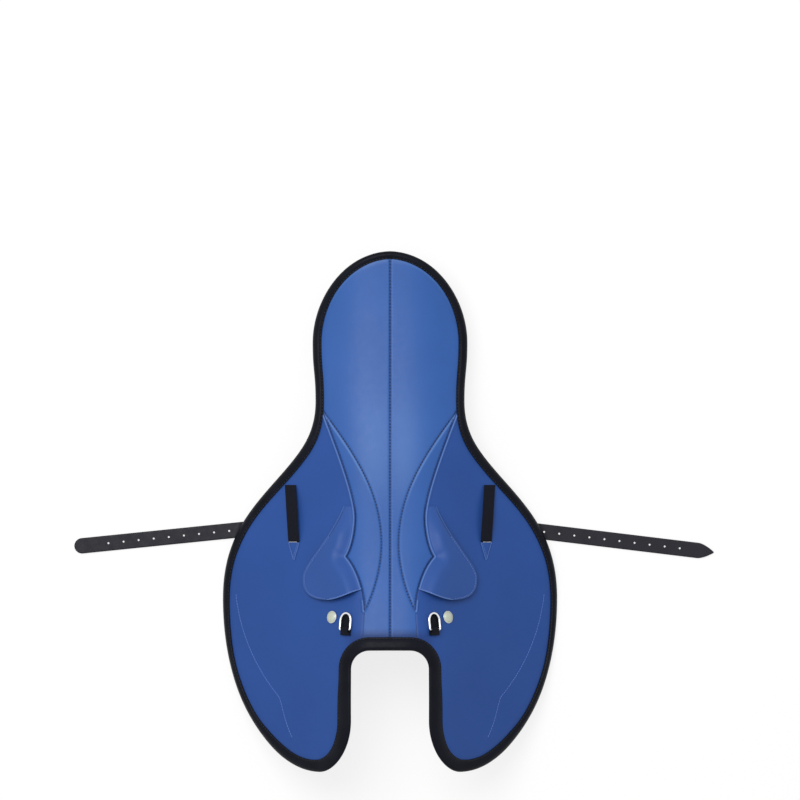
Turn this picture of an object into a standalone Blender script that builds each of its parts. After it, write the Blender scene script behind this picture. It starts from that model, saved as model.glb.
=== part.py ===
"""Flat-racing saddle lying on its panels, in metres, +Z up.

The horse's head would be toward -Y and its left side at +X. The saddle stands on z = 0 with the
middle of its footprint at the origin. Its whole top is one height field: a ridge that runs down
the middle and falls away to both sides. Every layer of leather, foam, web and tree is that field
moved down or up, so that the layers nest.
"""
import math

import bpy
import numpy as np
from mathutils import Matrix, Vector

# Plan of the bound edge, right half: X is the distance from the middle, Y runs to the cantle.
CANTLE_END = 0.3245
SEAT_WIDEST_AT = 0.212
WAIST_AT = 0.1385
FLAP_WIDEST_AT = -0.108
FLAP_TOE_AT = -0.3245
POMMEL_EDGE_AT = -0.173
SEAT_HALF_WIDTH = 0.0962
WAIST_HALF_WIDTH = 0.0925
FLAP_HALF_WIDTH = 0.207
TOE_FROM_MIDDLE = 0.088
NOTCH_HALF_WIDTH = 0.0475
NOTCH_CORNER_RADIUS = 0.022
NOTCH_STRAIGHT_TO = -0.259
CANTLE_FULLNESS = 0.624
END_TRIM = 0.0004

# Height of the ridge, and of the bound edge, at stations from the cantle to the toes.
HEIGHT_STATIONS = [
    (0.3245, 0.066, 0.0428),
    (0.250, 0.062, 0.0388),
    (0.119, 0.074, 0.0504),
    (0.039, 0.095, 0.0345),
    (-0.060, 0.129, 0.0165),
    (-0.110, 0.144, 0.0113),
    (-0.173, 0.157, 0.0145),
    (-0.250, 0.161, 0.0345),
    (-0.3245, 0.159, 0.1080),
]
RIDGE_FLAT_HALF = 0.008
SHOULDER_AT = 0.078
SHOULDER_SLOPE = 1.05
HEM_EASING = 0.15

# Layers, as depths under the top of the cover.
COVER_THICKNESS = 0.0016
FOAM_THICKNESS = 0.0038
LINING_THICKNESS = 0.0012
LAYER_GAP = 0.0005
SEAT_FOAM_GAP = 0.0008
WEB_THICKNESS = 0.0015
TREE_THICKNESS = 0.0040
SEAM_GAP = 0.0004
ROW_SPACING = 0.021
FLAP_ROW_SPACING = 0.028

# Edge binding: a U that grips the sandwich of cover, foam and lining.
BINDING_THICKNESS = 0.0012
BINDING_CLEARANCE = 0.0006
BINDING_EDGE_GAP = 0.0012
BINDING_LEG_SEAT = 0.0106
BINDING_LEG_FLAP = 0.0095
BINDING_LEG_TOE = 0.0135
BINDING_LEG_NOTCH = 0.0165
BINDING_STATION = 0.026
BINDING_STATIONS_PER_TURN = 15.0
BINDING_UNDERSIDE_SHARE = 0.6

# Waist leaf: the inset between two seams that share both ends.
LEAF_TOP = (0.084, 0.126)
LEAF_INNER = (0.0108, -0.040)
LEAF_OUTER = (0.0434, -0.008)
LEAF_CORNER = (0.0546, -0.0556)
LEAF_TIP = (0.0313, -0.1219)
LEAF_END_TRIM = 0.004
FRONT_JOINT_SHIFT = 0.003

# Skirts over the stirrup bars.
SKIRT_TOP_AT = 0.0065
SKIRT_APEX_FROM_MIDDLE = 0.0583
SKIRT_WIDEST = (0.1088, -0.0823)
SKIRT_FRONT = (0.0782, -0.1095)
SKIRT_INNER_END = (0.0340, -0.0960)
SKIRT_THICKNESS = 0.0024
SKIRT_SEAT_GAP = 0.0008
SKIRT_BULGE = 0.0098
SKIRT_RISE_RUN = 0.018
SKIRT_FALL_RUN = 0.030
SKIRT_HEM_FALL = 0.45

# Stirrup bars on the tree.
BAR_FROM_MIDDLE = 0.072
BAR_WIDTH = 0.008
BAR_THICKNESS = 0.005
BAR_REAR_END = -0.040
BAR_FRONT_END = -0.086
BAR_RISE = 0.0014
BAR_FOOT_SETBACK = 0.010
BAR_FOOT_LENGTH = 0.016
BAR_FOOT_WIDTH = 0.020
BAR_FOOT_THICKNESS = 0.0014
BAR_CHAMFER = 0.25
BAR_BEND_LENGTH = 0.012
BAR_WINDOW_MARGIN = 0.007

# Tree: moulded shell with a slot down its middle and a head plate under its arch.
TREE_REAR_AT = 0.298
TREE_REAR_ROUNDING = 0.060
TREE_FRONT_AT = -0.158
TREE_SEAT_HALF = 0.078
TREE_WAIST_HALF = 0.066
TREE_WAIST_AT = 0.040
TREE_BAR_HALF = 0.074
TREE_BAR_AT = -0.020
TREE_POINT_HALF = 0.100
TREE_POINT_AT = -0.115
TREE_SLOT_HALF = 0.018
TREE_SLOT_REAR = 0.215
TREE_SLOT_FRONT = -0.085
HEAD_PLATE_HALF = 0.064
HEAD_PLATE_WIDTH = 0.024
HEAD_PLATE_THICKNESS = 0.0020
HEAD_PLATE_SETBACK = 0.003
RIVET_RADIUS = 0.0020
RIVET_HEAD_RADIUS = 0.0040
RIVET_HEAD_THICKNESS = 0.0012
RIVET_CLEARANCE = 0.0003
RIVET_HEAD_GAP = 0.0008
RIVET_SPREAD = 0.24

# Panel pads on both sides of the gullet.
GULLET_HALF = 0.032
PAD_OUTER = 0.082
PAD_RIM_INSET = 0.006
PAD_REAR_AT = 0.296
PAD_FRONT_AT = -0.152
PAD_DEPTHS = [(0.302, 0.060), (0.200, 0.052), (0.100, 0.040), (0.0, 0.031), (-0.100, 0.026),
              (-0.152, 0.024)]
PAD_END_ROUNDING = 0.030
PAD_ROUNDING = 0.010
PAD_ROUNDING_RUN = 0.012
PAD_GAP = 0.0009

# Girth billets and the web that carries them over the tree.
BILLET_WIDTH = 0.0195
BILLET_THICKNESS = 0.0034
BILLET_GAP = 0.0012
BILLET_ROOT = 0.084
BILLET_AT = -0.013
BILLET_REACH = {"left": 0.3965, "right": 0.4065}
BILLET_SLANT = {"left": 5.8, "right": 6.9}
BILLET_POINT = {"left": 0.010, "right": 0.020}
BILLET_LANDING_RADIUS = 0.0006
BILLET_FLOOR_GAP = 0.0002
BILLET_HOLE_RADIUS = 0.0020
BILLET_HOLE_PITCH = 0.01905
BILLET_HOLE_COUNT = 11
BILLET_FIRST_HOLE = 0.043
WEB_HALF_WIDTH = 0.020
WEB_END = 0.100

# Surcingle loops and the tabs at their front ends.
LOOP_REAR = (0.1246, 0.0290)
LOOP_FRONT = (0.1203, -0.0380)
LOOP_WIDTH = 0.0140
LOOP_THICKNESS = 0.0016
LOOP_BOW = 0.0086
LOOP_SEAT_GAP = 0.0006
TAB_LENGTH = 0.0225
TAB_THICKNESS = 0.0012
TAB_TIP_WIDTH = 0.0016

# Front dees, their chapes and the head studs.
DEE_FROM_MIDDLE = 0.0556
DEE_BAR_AT = -0.1465
DEE_WIDTH = 0.0195
DEE_LENGTH = 0.0215
DEE_WIRE_RADIUS = 0.0015
DEE_SEAT_GAP = 0.0012
DEE_CORNER = 0.0016
DEE_CLEARANCE = 0.0004
CHAPE_WIDTH = 0.0140
CHAPE_THICKNESS = 0.0014
CHAPE_TAIL = 0.0070
STUD_FROM_MIDDLE = 0.0719
STUD_AT = -0.1310
STUD_RADIUS = 0.0080
STUD_HEIGHT = 0.0030
STUD_SEAT_GAP = 0.0006

LINING_TOP = COVER_THICKNESS + LAYER_GAP + FOAM_THICKNESS + LAYER_GAP
SANDWICH_DEPTH = LINING_TOP + LINING_THICKNESS
WEB_TOP = SANDWICH_DEPTH + LAYER_GAP
TREE_TOP = WEB_TOP + WEB_THICKNESS + LAYER_GAP
TREE_BOTTOM = TREE_TOP + TREE_THICKNESS
BINDING_INSET = BINDING_THICKNESS + BINDING_EDGE_GAP

SIDES = {"right": 1.0, "left": -1.0}

for leftover in list(bpy.data.objects):
    bpy.data.objects.remove(leftover, do_unlink=True)


def finish(name, colour, roughness, metallic=0.0):
    """Plain Principled material."""
    material = bpy.data.materials.new(name)
    material.use_nodes = True
    shader = material.node_tree.nodes["Principled BSDF"]
    shader.inputs["Base Color"].default_value = (*colour, 1.0)
    shader.inputs["Roughness"].default_value = roughness
    shader.inputs["Metallic"].default_value = metallic
    return material


SEAT_BLUE = finish("seat_leather_blue", (0.075, 0.180, 0.480), 0.48)
FLAP_BLUE = finish("flap_leather_blue", (0.045, 0.105, 0.340), 0.50)
BLACK_LEATHER = finish("binding_black", (0.012, 0.012, 0.015), 0.55)
STRAP_BLACK = finish("billet_leather", (0.028, 0.029, 0.040), 0.50)
ELASTIC_BLACK = finish("loop_webbing", (0.014, 0.014, 0.018), 0.80)
FOAM_GREY = finish("foam", (0.30, 0.30, 0.31), 0.90)
LINING_BLACK = finish("lining", (0.030, 0.030, 0.034), 0.85)
TREE_GREY = finish("tree_moulding", (0.060, 0.062, 0.066), 0.45)
WEB_WHITE = finish("girth_web", (0.45, 0.44, 0.40), 0.85)
CHROME = finish("polished_steel", (0.72, 0.73, 0.74), 0.16, 1.0)
STUD_METAL = finish("stud_plating", (0.60, 0.63, 0.56), 0.30, 0.85)
STEEL = finish("plated_steel", (0.55, 0.56, 0.58), 0.30, 1.0)


def bezier(start, start_handle, end_handle, end, count=25):
    """Points of one cubic curve in the plan."""
    share = np.linspace(0.0, 1.0, count)[:, None]
    rest = 1.0 - share
    points = rest ** 3 * np.array(start) + 3.0 * rest ** 2 * share * np.array(start_handle)
    points += 3.0 * rest * share ** 2 * np.array(end_handle) + share ** 3 * np.array(end)
    return points


def chain(*curves):
    """Joins curves that meet end to start."""
    return np.vstack([curves[0]] + [curve[1:] for curve in curves[1:]])


def crossing(curve, along):
    """Distance from the middle where a curve that runs steadily along Y passes each Y value."""
    order = np.argsort(curve[:, 1])
    return np.interp(along, curve[order, 1], curve[order, 0])


def smooth_through(stations, values, along):
    """Cubic Hermite curve through the values at the stations."""
    order = np.argsort(stations)
    stations = np.asarray(stations)[order]
    values = np.asarray(values)[order]
    slopes = np.gradient(values, stations)
    along = np.clip(along, stations[0], stations[-1])
    span = np.clip(np.searchsorted(stations, along) - 1, 0, len(stations) - 2)
    width = stations[span + 1] - stations[span]
    share = (along - stations[span]) / width
    start = (1.0 + 2.0 * share) * (1.0 - share) ** 2 * values[span]
    start_slope = share * (1.0 - share) ** 2 * width * slopes[span]
    end = share ** 2 * (3.0 - 2.0 * share) * values[span + 1]
    end_slope = share ** 2 * (share - 1.0) * width * slopes[span + 1]
    return start + start_slope + end + end_slope


def smooth_step(value):
    """Rises from 0 to 1 with level ends."""
    share = np.clip(value, 0.0, 1.0)
    return share * share * (3.0 - 2.0 * share)


CANTLE_CURVE = bezier((0.0, CANTLE_END), (CANTLE_FULLNESS * SEAT_HALF_WIDTH, CANTLE_END),
                      (SEAT_HALF_WIDTH, SEAT_WIDEST_AT + 0.46 * (CANTLE_END - SEAT_WIDEST_AT)),
                      (SEAT_HALF_WIDTH, SEAT_WIDEST_AT), 33)
WAIST_MIDDLE = 0.5 * (SEAT_WIDEST_AT + WAIST_AT)
WAIST_CURVE = bezier((SEAT_HALF_WIDTH, SEAT_WIDEST_AT), (SEAT_HALF_WIDTH, WAIST_MIDDLE),
                     (WAIST_HALF_WIDTH, WAIST_MIDDLE), (WAIST_HALF_WIDTH, WAIST_AT), 9)
FLARE_RUN = WAIST_AT - FLAP_WIDEST_AT
FLARE_CURVE = bezier((WAIST_HALF_WIDTH, WAIST_AT),
                     (WAIST_HALF_WIDTH, WAIST_AT - 0.403 * FLARE_RUN),
                     (FLAP_HALF_WIDTH, FLAP_WIDEST_AT + 0.536 * FLARE_RUN),
                     (FLAP_HALF_WIDTH, FLAP_WIDEST_AT), 41)
FRONT_RUN = FLAP_WIDEST_AT - FLAP_TOE_AT
FRONT_CURVE = bezier((FLAP_HALF_WIDTH, FLAP_WIDEST_AT),
                     (FLAP_HALF_WIDTH, FLAP_WIDEST_AT - 0.515 * FRONT_RUN),
                     (TOE_FROM_MIDDLE + 0.60 * (FLAP_HALF_WIDTH - TOE_FROM_MIDDLE), FLAP_TOE_AT),
                     (TOE_FROM_MIDDLE, FLAP_TOE_AT), 49)
TOE_RUN = NOTCH_STRAIGHT_TO - FLAP_TOE_AT
TOE_CURVE = bezier((TOE_FROM_MIDDLE, FLAP_TOE_AT),
                   (TOE_FROM_MIDDLE - 0.47 * (TOE_FROM_MIDDLE - NOTCH_HALF_WIDTH), FLAP_TOE_AT),
                   (NOTCH_HALF_WIDTH, NOTCH_STRAIGHT_TO - 0.56 * TOE_RUN),
                   (NOTCH_HALF_WIDTH, NOTCH_STRAIGHT_TO), 25)
CORNER_CENTRE = (NOTCH_HALF_WIDTH - NOTCH_CORNER_RADIUS, POMMEL_EDGE_AT - NOTCH_CORNER_RADIUS)
NOTCH_SIDE = np.linspace((NOTCH_HALF_WIDTH, NOTCH_STRAIGHT_TO),
                         (NOTCH_HALF_WIDTH, CORNER_CENTRE[1]), 7)
TURN = np.linspace(0.0, math.pi / 2.0, 9)
NOTCH_CORNER = np.column_stack([CORNER_CENTRE[0] + NOTCH_CORNER_RADIUS * np.cos(TURN),
                                CORNER_CENTRE[1] + NOTCH_CORNER_RADIUS * np.sin(TURN)])
POMMEL_EDGE = np.linspace((CORNER_CENTRE[0], POMMEL_EDGE_AT), (0.0, POMMEL_EDGE_AT), 5)


def moved_in(curve, distance):
    """The curve moved into the leather, square to its run from the cantle to the pommel."""
    run = np.gradient(curve, axis=0)
    length = np.hypot(run[:, 0], run[:, 1])[:, None]
    inward = np.column_stack([run[:, 1], -run[:, 0]]) / length
    return curve + inward * np.reshape(distance, (-1, 1))


OUTER_EDGE = moved_in(chain(CANTLE_CURVE, WAIST_CURVE, FLARE_CURVE, FRONT_CURVE), BINDING_INSET)
INNER_EDGE = moved_in(chain(TOE_CURVE, NOTCH_SIDE, NOTCH_CORNER), BINDING_INSET)
CANTLE_CUT = CANTLE_END - BINDING_INSET
TOE_CUT = FLAP_TOE_AT + BINDING_INSET
POMMEL_CUT = POMMEL_EDGE_AT + BINDING_INSET

LEAF_INNER_SEAM = chain(
    bezier(LEAF_TOP, (LEAF_TOP[0] - 0.0444, LEAF_TOP[1] - 0.0599),
           (LEAF_INNER[0], LEAF_INNER[1] + 0.062), LEAF_INNER),
    bezier(LEAF_INNER, (LEAF_INNER[0], LEAF_INNER[1] - 0.029),
           (LEAF_TIP[0] - 0.0112, LEAF_TIP[1] + 0.021), LEAF_TIP))
LEAF_OUTER_SEAM = chain(
    bezier(LEAF_TOP, (LEAF_TOP[0] - 0.0184, LEAF_TOP[1] - 0.0494),
           (LEAF_OUTER[0], LEAF_OUTER[1] + 0.0296), LEAF_OUTER),
    bezier(LEAF_OUTER, (LEAF_OUTER[0], LEAF_OUTER[1] - 0.0151),
           (LEAF_CORNER[0] - 0.0069, LEAF_CORNER[1] + 0.0099), LEAF_CORNER),
    bezier(LEAF_CORNER, (LEAF_CORNER[0] - 0.0133, LEAF_CORNER[1] - 0.0144),
           (LEAF_TIP[0] + 0.0012, LEAF_TIP[1] + 0.0254), LEAF_TIP))
SEAM_START = LEAF_TOP[1] + 2.0 * LEAF_END_TRIM
SEAM_MOUTH = (float(crossing(OUTER_EDGE, SEAM_START)), SEAM_START)
FRONT_JOINT = LEAF_TIP[0] + FRONT_JOINT_SHIFT


def drop(from_middle):
    """Fall of the saddle's top from its ridge, for a steepness of one."""
    shoulder = SHOULDER_AT - RIDGE_FLAT_HALF
    share = np.clip((from_middle - RIDGE_FLAT_HALF) / shoulder, 0.0, 1.0)
    beyond = np.maximum(from_middle - SHOULDER_AT, 0.0)
    easing = HEM_EASING * beyond ** 2 / (2.0 * (FLAP_HALF_WIDTH - SHOULDER_AT))
    return SHOULDER_SLOPE * (shoulder * (share ** 3 - 0.5 * share ** 4) + beyond) - easing


STATION_AT = np.array([station[0] for station in HEIGHT_STATIONS])
RIDGE_HEIGHT = np.array([station[1] for station in HEIGHT_STATIONS])
EDGE_HEIGHT = np.array([station[2] for station in HEIGHT_STATIONS])
EDGE_REACH = np.maximum(crossing(OUTER_EDGE, STATION_AT), WAIST_HALF_WIDTH)
STEEPNESS = (RIDGE_HEIGHT - EDGE_HEIGHT) / drop(EDGE_REACH)


def height(x, y):
    """Top of the cover at a place in the plan."""
    ridge = smooth_through(STATION_AT, RIDGE_HEIGHT, y)
    steepness = smooth_through(STATION_AT, STEEPNESS, y)
    return ridge - steepness * drop(np.abs(x))


def surface_frame(x, y, lift=0.0):
    """Frame on the cover: X across the saddle, Y to the cantle, Z square to the leather."""
    step = 0.0005
    across = float(height(x + step, y) - height(x - step, y)) / (2.0 * step)
    lengthwise = float(height(x, y + step) - height(x, y - step)) / (2.0 * step)
    normal = Vector((-across, -lengthwise, 1.0)).normalized()
    x_axis = Vector((1.0, 0.0, across)).normalized()
    y_axis = normal.cross(x_axis)
    place = Vector((x, y, float(height(x, y)))) + normal * lift
    frame = Matrix((x_axis, y_axis, normal)).transposed().to_4x4()
    frame.translation = place
    return frame


def solid(name, points, faces, material, frame=None, smooth_angle=40.0):
    """Object from a closed mesh, faced outward, with its origin at the frame."""
    points = np.asarray(points, dtype=float)
    triangles = []
    for face in faces:
        triangles += [(face[0], face[k], face[k + 1]) for k in range(1, len(face) - 1)]
    corners = points[np.array(triangles)]
    middle = points.mean(axis=0)
    volume = np.einsum("ij,ij->", corners[:, 0] - middle,
                       np.cross(corners[:, 1] - middle, corners[:, 2] - middle))
    if volume < 0.0:
        faces = [tuple(reversed(face)) for face in faces]
    if frame is not None:
        back = frame.inverted()
        points = [tuple(back @ Vector(point)) for point in points]
    mesh = bpy.data.meshes.new(name)
    mesh.from_pydata([tuple(point) for point in points], [], faces)
    mesh.materials.append(material)
    mesh.shade_smooth()
    mesh.set_sharp_from_angle(angle=math.radians(smooth_angle))
    thing = bpy.data.objects.new(name, mesh)
    bpy.context.collection.objects.link(thing)
    if frame is not None:
        thing.matrix_world = frame
    return thing


def sheet(name, plan, top, bottom, material, frame=None):
    """Closed sheet over a plan grid, between a top and a bottom height for each grid point."""
    rows, columns = plan.shape[:2]
    count = rows * columns
    points = np.vstack([np.dstack([plan, top]).reshape(-1, 3),
                        np.dstack([plan, bottom]).reshape(-1, 3)])
    faces = []
    for row in range(rows - 1):
        for column in range(columns - 1):
            near = row * columns + column
            far = near + columns
            if plan[row, column, 0] + plan[row, column + 1, 0] < -1e-6:
                upper = [(near, near + 1, far), (near + 1, far + 1, far)]
            else:
                upper = [(near, near + 1, far + 1), (near, far + 1, far)]
            faces += upper
            faces += [tuple(count + index for index in reversed(face)) for face in upper]
    rim = list(range(columns))
    rim += [row * columns + columns - 1 for row in range(1, rows)]
    rim += [(rows - 1) * columns + column for column in range(columns - 2, -1, -1)]
    rim += [row * columns for row in range(rows - 2, 0, -1)]
    for place, start in enumerate(rim):
        end = rim[(place + 1) % len(rim)]
        faces += [(end, start, count + start), (end, count + start, count + end)]
    return solid(name, points, faces, material, frame)


def plan_grid(along, inner, outer, shares, side=1.0):
    """Grid of plan points: one row for each Y, with the shares from its inner to its outer X."""
    along = np.asarray(along)
    inner = np.broadcast_to(inner, along.shape)
    across = inner[:, None] + (outer - inner)[:, None] * np.asarray(shares)[None, :]
    return np.dstack([side * across, np.repeat(along[:, None], len(shares), axis=1)])


def layer(name, plan, top_depth, bottom_depth, material):
    """Sheet between two depths under the top of the cover."""
    level = height(plan[..., 0], plan[..., 1])
    return sheet(name, plan, level - top_depth, level - bottom_depth, material)


def rows_through(marks, spacing, crowded=()):
    """Row places from mark to mark. A crowded run closes up toward its far end."""
    rows = [marks[0]]
    for place, (start, end) in enumerate(zip(marks[:-1], marks[1:])):
        count = max(1, math.ceil(abs(end - start) / spacing - 0.01))
        if place in crowded:
            count += 3
        for step in range(1, count + 1):
            share = step / count
            if place in crowded:
                share = math.sin(share * math.pi / 2.0)
            rows.append(start + (end - start) * share)
    return np.array(rows)


def lathe(name, profile, sides, material, frame):
    """Turned solid about the frame's Z, from a profile of radius and height whose ends touch it."""
    inner = profile[1:-1]
    points = [(0.0, 0.0, profile[0][1]), (0.0, 0.0, profile[-1][1])]
    for radius, level in inner:
        for step in range(sides):
            angle = 2.0 * math.pi * step / sides
            points.append((radius * math.cos(angle), radius * math.sin(angle), level))
    faces = []
    last = 2 + (len(inner) - 1) * sides
    for step in range(sides):
        after = (step + 1) % sides
        faces.append((0, 2 + after, 2 + step))
        faces.append((1, last + step, last + after))
        for ring in range(len(inner) - 1):
            low = 2 + ring * sides
            faces.append((low + step, low + after, low + sides + after, low + sides + step))
    placed = [tuple(frame @ Vector(point)) for point in points]
    return solid(name, placed, faces, material, frame)


def sweep(name, sections, material, frame=None, closed=True):
    """Solid through equal sections. Unless closed into a loop, its end sections are its caps."""
    count = len(sections[0])
    points = np.vstack(sections)
    faces = []
    for ring in range(len(sections) if closed else len(sections) - 1):
        low = ring * count
        high = ((ring + 1) % len(sections)) * count
        for step in range(count):
            after = (step + 1) % count
            faces.append((low + step, low + after, high + after))
            faces.append((low + step, high + after, high + step))
    if not closed:
        faces.append(tuple(reversed(range(count))))
        faces.append(tuple(range(len(points) - count, len(points))))
    return solid(name, points, faces, material, frame)


def cut(target, cutter):
    """Takes the cutter's shape out of the target and keeps it as a guide."""
    cutter.hide_render = True
    cutter.display_type = "WIRE"
    modifier = target.modifiers.new("cut_" + cutter.name, "BOOLEAN")
    modifier.operation = "DIFFERENCE"
    modifier.solver = "EXACT"
    modifier.object = cutter


def block(name, low, high, material):
    """Upright box between two corners."""
    points = [(x, y, z) for x in (low[0], high[0]) for y in (low[1], high[1])
              for z in (low[2], high[2])]
    faces = [(0, 1, 3, 2), (4, 6, 7, 5), (0, 4, 5, 1), (2, 3, 7, 6), (0, 2, 6, 4), (1, 5, 7, 3)]
    return solid(name, points, faces, material)


def seat_rows_and_reach(seam, marks):
    """Rows of a seat layer from cantle to pommel, and its half width where a leaf seam ends it."""
    rear = rows_through([SEAT_WIDEST_AT, CANTLE_CUT - END_TRIM], ROW_SPACING, crowded=(0,))[::-1]
    front = rows_through([SEAT_WIDEST_AT, SEAM_START, LEAF_TOP[1], *marks, LEAF_TIP[1], POMMEL_CUT],
                         ROW_SPACING)
    rows = np.append(rear, front[1:])
    edge = chain(OUTER_EDGE[OUTER_EDGE[:, 1] > SEAM_START], np.array([SEAM_MOUTH, LEAF_TOP]), seam,
                 np.array([LEAF_TIP, (FRONT_JOINT, POMMEL_CUT)]))
    return rows, crossing(edge, rows) - np.where(rows < SEAM_START, 0.5 * SEAM_GAP, 0.0)


def seat_covers():
    """Two seat panels that meet in the sewn centre seam and end at the leaf's inner seam."""
    rows, reach = seat_rows_and_reach(LEAF_INNER_SEAM, [LEAF_INNER[1]])
    shares = np.linspace(0.0, 1.0, 7)
    for side, sign in SIDES.items():
        plan = plan_grid(rows, 0.5 * SEAM_GAP, reach, shares, sign)
        layer("seat_cover_" + side, plan, 0.0, COVER_THICKNESS, SEAT_BLUE)


def seat_foam():
    """One foam sheet under both seat panels and both leaves."""
    rows, reach = seat_rows_and_reach(LEAF_OUTER_SEAM, [LEAF_OUTER[1], LEAF_CORNER[1]])
    plan = plan_grid(rows, -reach, reach, np.linspace(0.0, 1.0, 13))
    layer("seat_foam", plan, COVER_THICKNESS + SEAT_FOAM_GAP, SANDWICH_DEPTH, FOAM_GREY)


def waist_leaves():
    """Curved insets at the rider's thighs, between the seat panels and the flaps."""
    rows = rows_through([LEAF_TOP[1] - LEAF_END_TRIM, LEAF_OUTER[1], LEAF_CORNER[1],
                         LEAF_TIP[1] + LEAF_END_TRIM], 0.014)
    inner = crossing(LEAF_INNER_SEAM, rows) + 0.5 * SEAM_GAP
    outer = crossing(LEAF_OUTER_SEAM, rows) - 0.5 * SEAM_GAP
    for side, sign in SIDES.items():
        plan = plan_grid(rows, inner, outer, np.linspace(0.0, 1.0, 5), sign)
        layer("waist_leaf_" + side, plan, 0.0, COVER_THICKNESS, SEAT_BLUE)


def flaps():
    """Cover, foam and lining of each flap, windowed where the stirrup bar stands through."""
    corner = INNER_EDGE[INNER_EDGE[:, 0] >= FRONT_JOINT]
    edge = chain(np.array([SEAM_MOUTH, LEAF_TOP]), LEAF_OUTER_SEAM,
                 np.array([LEAF_TIP, (FRONT_JOINT, corner[-1, 1])]), corner[::-1])
    marks = [SEAM_START - 0.5 * LEAF_END_TRIM, LEAF_OUTER[1], LEAF_CORNER[1], LEAF_TIP[1],
             corner[-1, 1], CORNER_CENTRE[1], NOTCH_STRAIGHT_TO, TOE_CUT + END_TRIM]
    rows = rows_through(marks, FLAP_ROW_SPACING, crowded=(6,))
    turns = np.radians([16.0, 32.0, 48.0, 62.0])
    extra = CORNER_CENTRE[1] + (NOTCH_CORNER_RADIUS + BINDING_INSET) * np.sin(turns)
    rows = np.unique(np.append(rows, extra))[::-1]
    inner = crossing(edge, rows) + np.where(rows > corner[-1, 1], 0.5 * SEAM_GAP, 0.0)
    outer = crossing(OUTER_EDGE, rows)
    shares = (0.0, 0.06, 0.14, 0.25, 0.42, 0.70, 1.0)
    low = BAR_FROM_MIDDLE - 0.5 * BAR_WIDTH - BAR_WINDOW_MARGIN
    high = BAR_FROM_MIDDLE + 0.5 * BAR_WIDTH + BAR_WINDOW_MARGIN
    for side, sign in SIDES.items():
        plan = plan_grid(rows, inner, outer, shares, sign)
        window = block("bar_window_" + side,
                       (min(sign * low, sign * high), BAR_FRONT_END - BAR_FOOT_SETBACK, 0.0),
                       (max(sign * low, sign * high), BAR_REAR_END + BAR_WINDOW_MARGIN, 0.3),
                       FLAP_BLUE)
        layers = [("flap_cover_", 0.0, COVER_THICKNESS, FLAP_BLUE),
                  ("flap_foam_", COVER_THICKNESS + LAYER_GAP, LINING_TOP - LAYER_GAP, FOAM_GREY),
                  ("flap_lining_", LINING_TOP, SANDWICH_DEPTH, LINING_BLACK)]
        for name, top, bottom, material in layers:
            cut(layer(name + side, plan, top, bottom, material), window)


def edge_binding():
    """One strip of leather folded round the whole edge, joined under the cantle."""
    runs = [(CANTLE_CURVE, BINDING_LEG_SEAT, BINDING_LEG_SEAT),
            (WAIST_CURVE, BINDING_LEG_SEAT, BINDING_LEG_SEAT),
            (FLARE_CURVE, BINDING_LEG_SEAT, BINDING_LEG_FLAP),
            (FRONT_CURVE, BINDING_LEG_FLAP, BINDING_LEG_FLAP),
            (TOE_CURVE, BINDING_LEG_TOE, BINDING_LEG_NOTCH),
            (NOTCH_SIDE, BINDING_LEG_NOTCH, BINDING_LEG_NOTCH),
            (NOTCH_CORNER, BINDING_LEG_NOTCH, BINDING_LEG_NOTCH),
            (POMMEL_EDGE, BINDING_LEG_NOTCH, BINDING_LEG_NOTCH)]
    path = chain(*[run[0] for run in runs])
    legs = np.concatenate([np.linspace(run[1], run[2], len(run[0]))[0 if place == 0 else 1:]
                           for place, run in enumerate(runs)])
    kernel = np.hanning(13)
    legs = np.convolve(np.pad(legs, 6, mode="edge"), kernel / kernel.sum(), mode="valid")
    lengths = np.concatenate([[0.0], np.cumsum(np.hypot(*np.diff(path, axis=0).T))])
    run = np.gradient(path, lengths, axis=0)
    run /= np.hypot(run[:, 0], run[:, 1])[:, None]
    inward = np.column_stack([run[:, 1], -run[:, 0]])
    bend = np.hypot(*np.gradient(inward, lengths, axis=0).T)
    turning = np.minimum(0.5 * (bend[1:] + bend[:-1]), 1.3 / NOTCH_CORNER_RADIUS)
    steps = np.diff(lengths) * (1.0 / BINDING_STATION + turning * BINDING_STATIONS_PER_TURN / (2.0 * math.pi))
    weight = np.concatenate([[0.0], np.cumsum(steps)])
    stops = np.interp(np.linspace(0.0, weight[-1], int(round(weight[-1])) + 1), weight, lengths)
    top = BINDING_CLEARANCE + BINDING_THICKNESS
    bottom = SANDWICH_DEPTH + BINDING_CLEARANCE + BINDING_THICKNESS
    half = []
    for stop in stops:
        place = np.array([np.interp(stop, lengths, axis) for axis in path.T])
        inner = np.array([np.interp(stop, lengths, axis) for axis in inward.T])
        if stop in (stops[0], stops[-1]):
            inner[0] = 0.0
        inner /= np.hypot(*inner)
        leg = float(np.interp(stop, lengths, legs))
        profile = [(0.0, 0.4 * top), (BINDING_THICKNESS, top), (0.5 * leg, top), (leg, top - 0.0002),
                   (leg, BINDING_CLEARANCE), (0.5 * leg, BINDING_CLEARANCE),
                   (BINDING_THICKNESS, BINDING_CLEARANCE), (BINDING_THICKNESS, BINDING_THICKNESS - bottom),
                   (BINDING_UNDERSIDE_SHARE * leg, BINDING_THICKNESS - bottom),
                   (BINDING_UNDERSIDE_SHARE * leg, -bottom),
                   (BINDING_THICKNESS, -bottom), (0.0, 0.5 * BINDING_THICKNESS - bottom)]
        section = []
        for depth, rise in profile:
            x, y = place + inner * depth
            section.append((x, y, max(float(height(x, y)) + rise, 0.0)))
        half.append(np.array(section))
    mirrored = [section * np.array([-1.0, 1.0, 1.0]) for section in half[-2:0:-1]]
    sweep("edge_binding", half + mirrored, BLACK_LEATHER)


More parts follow.
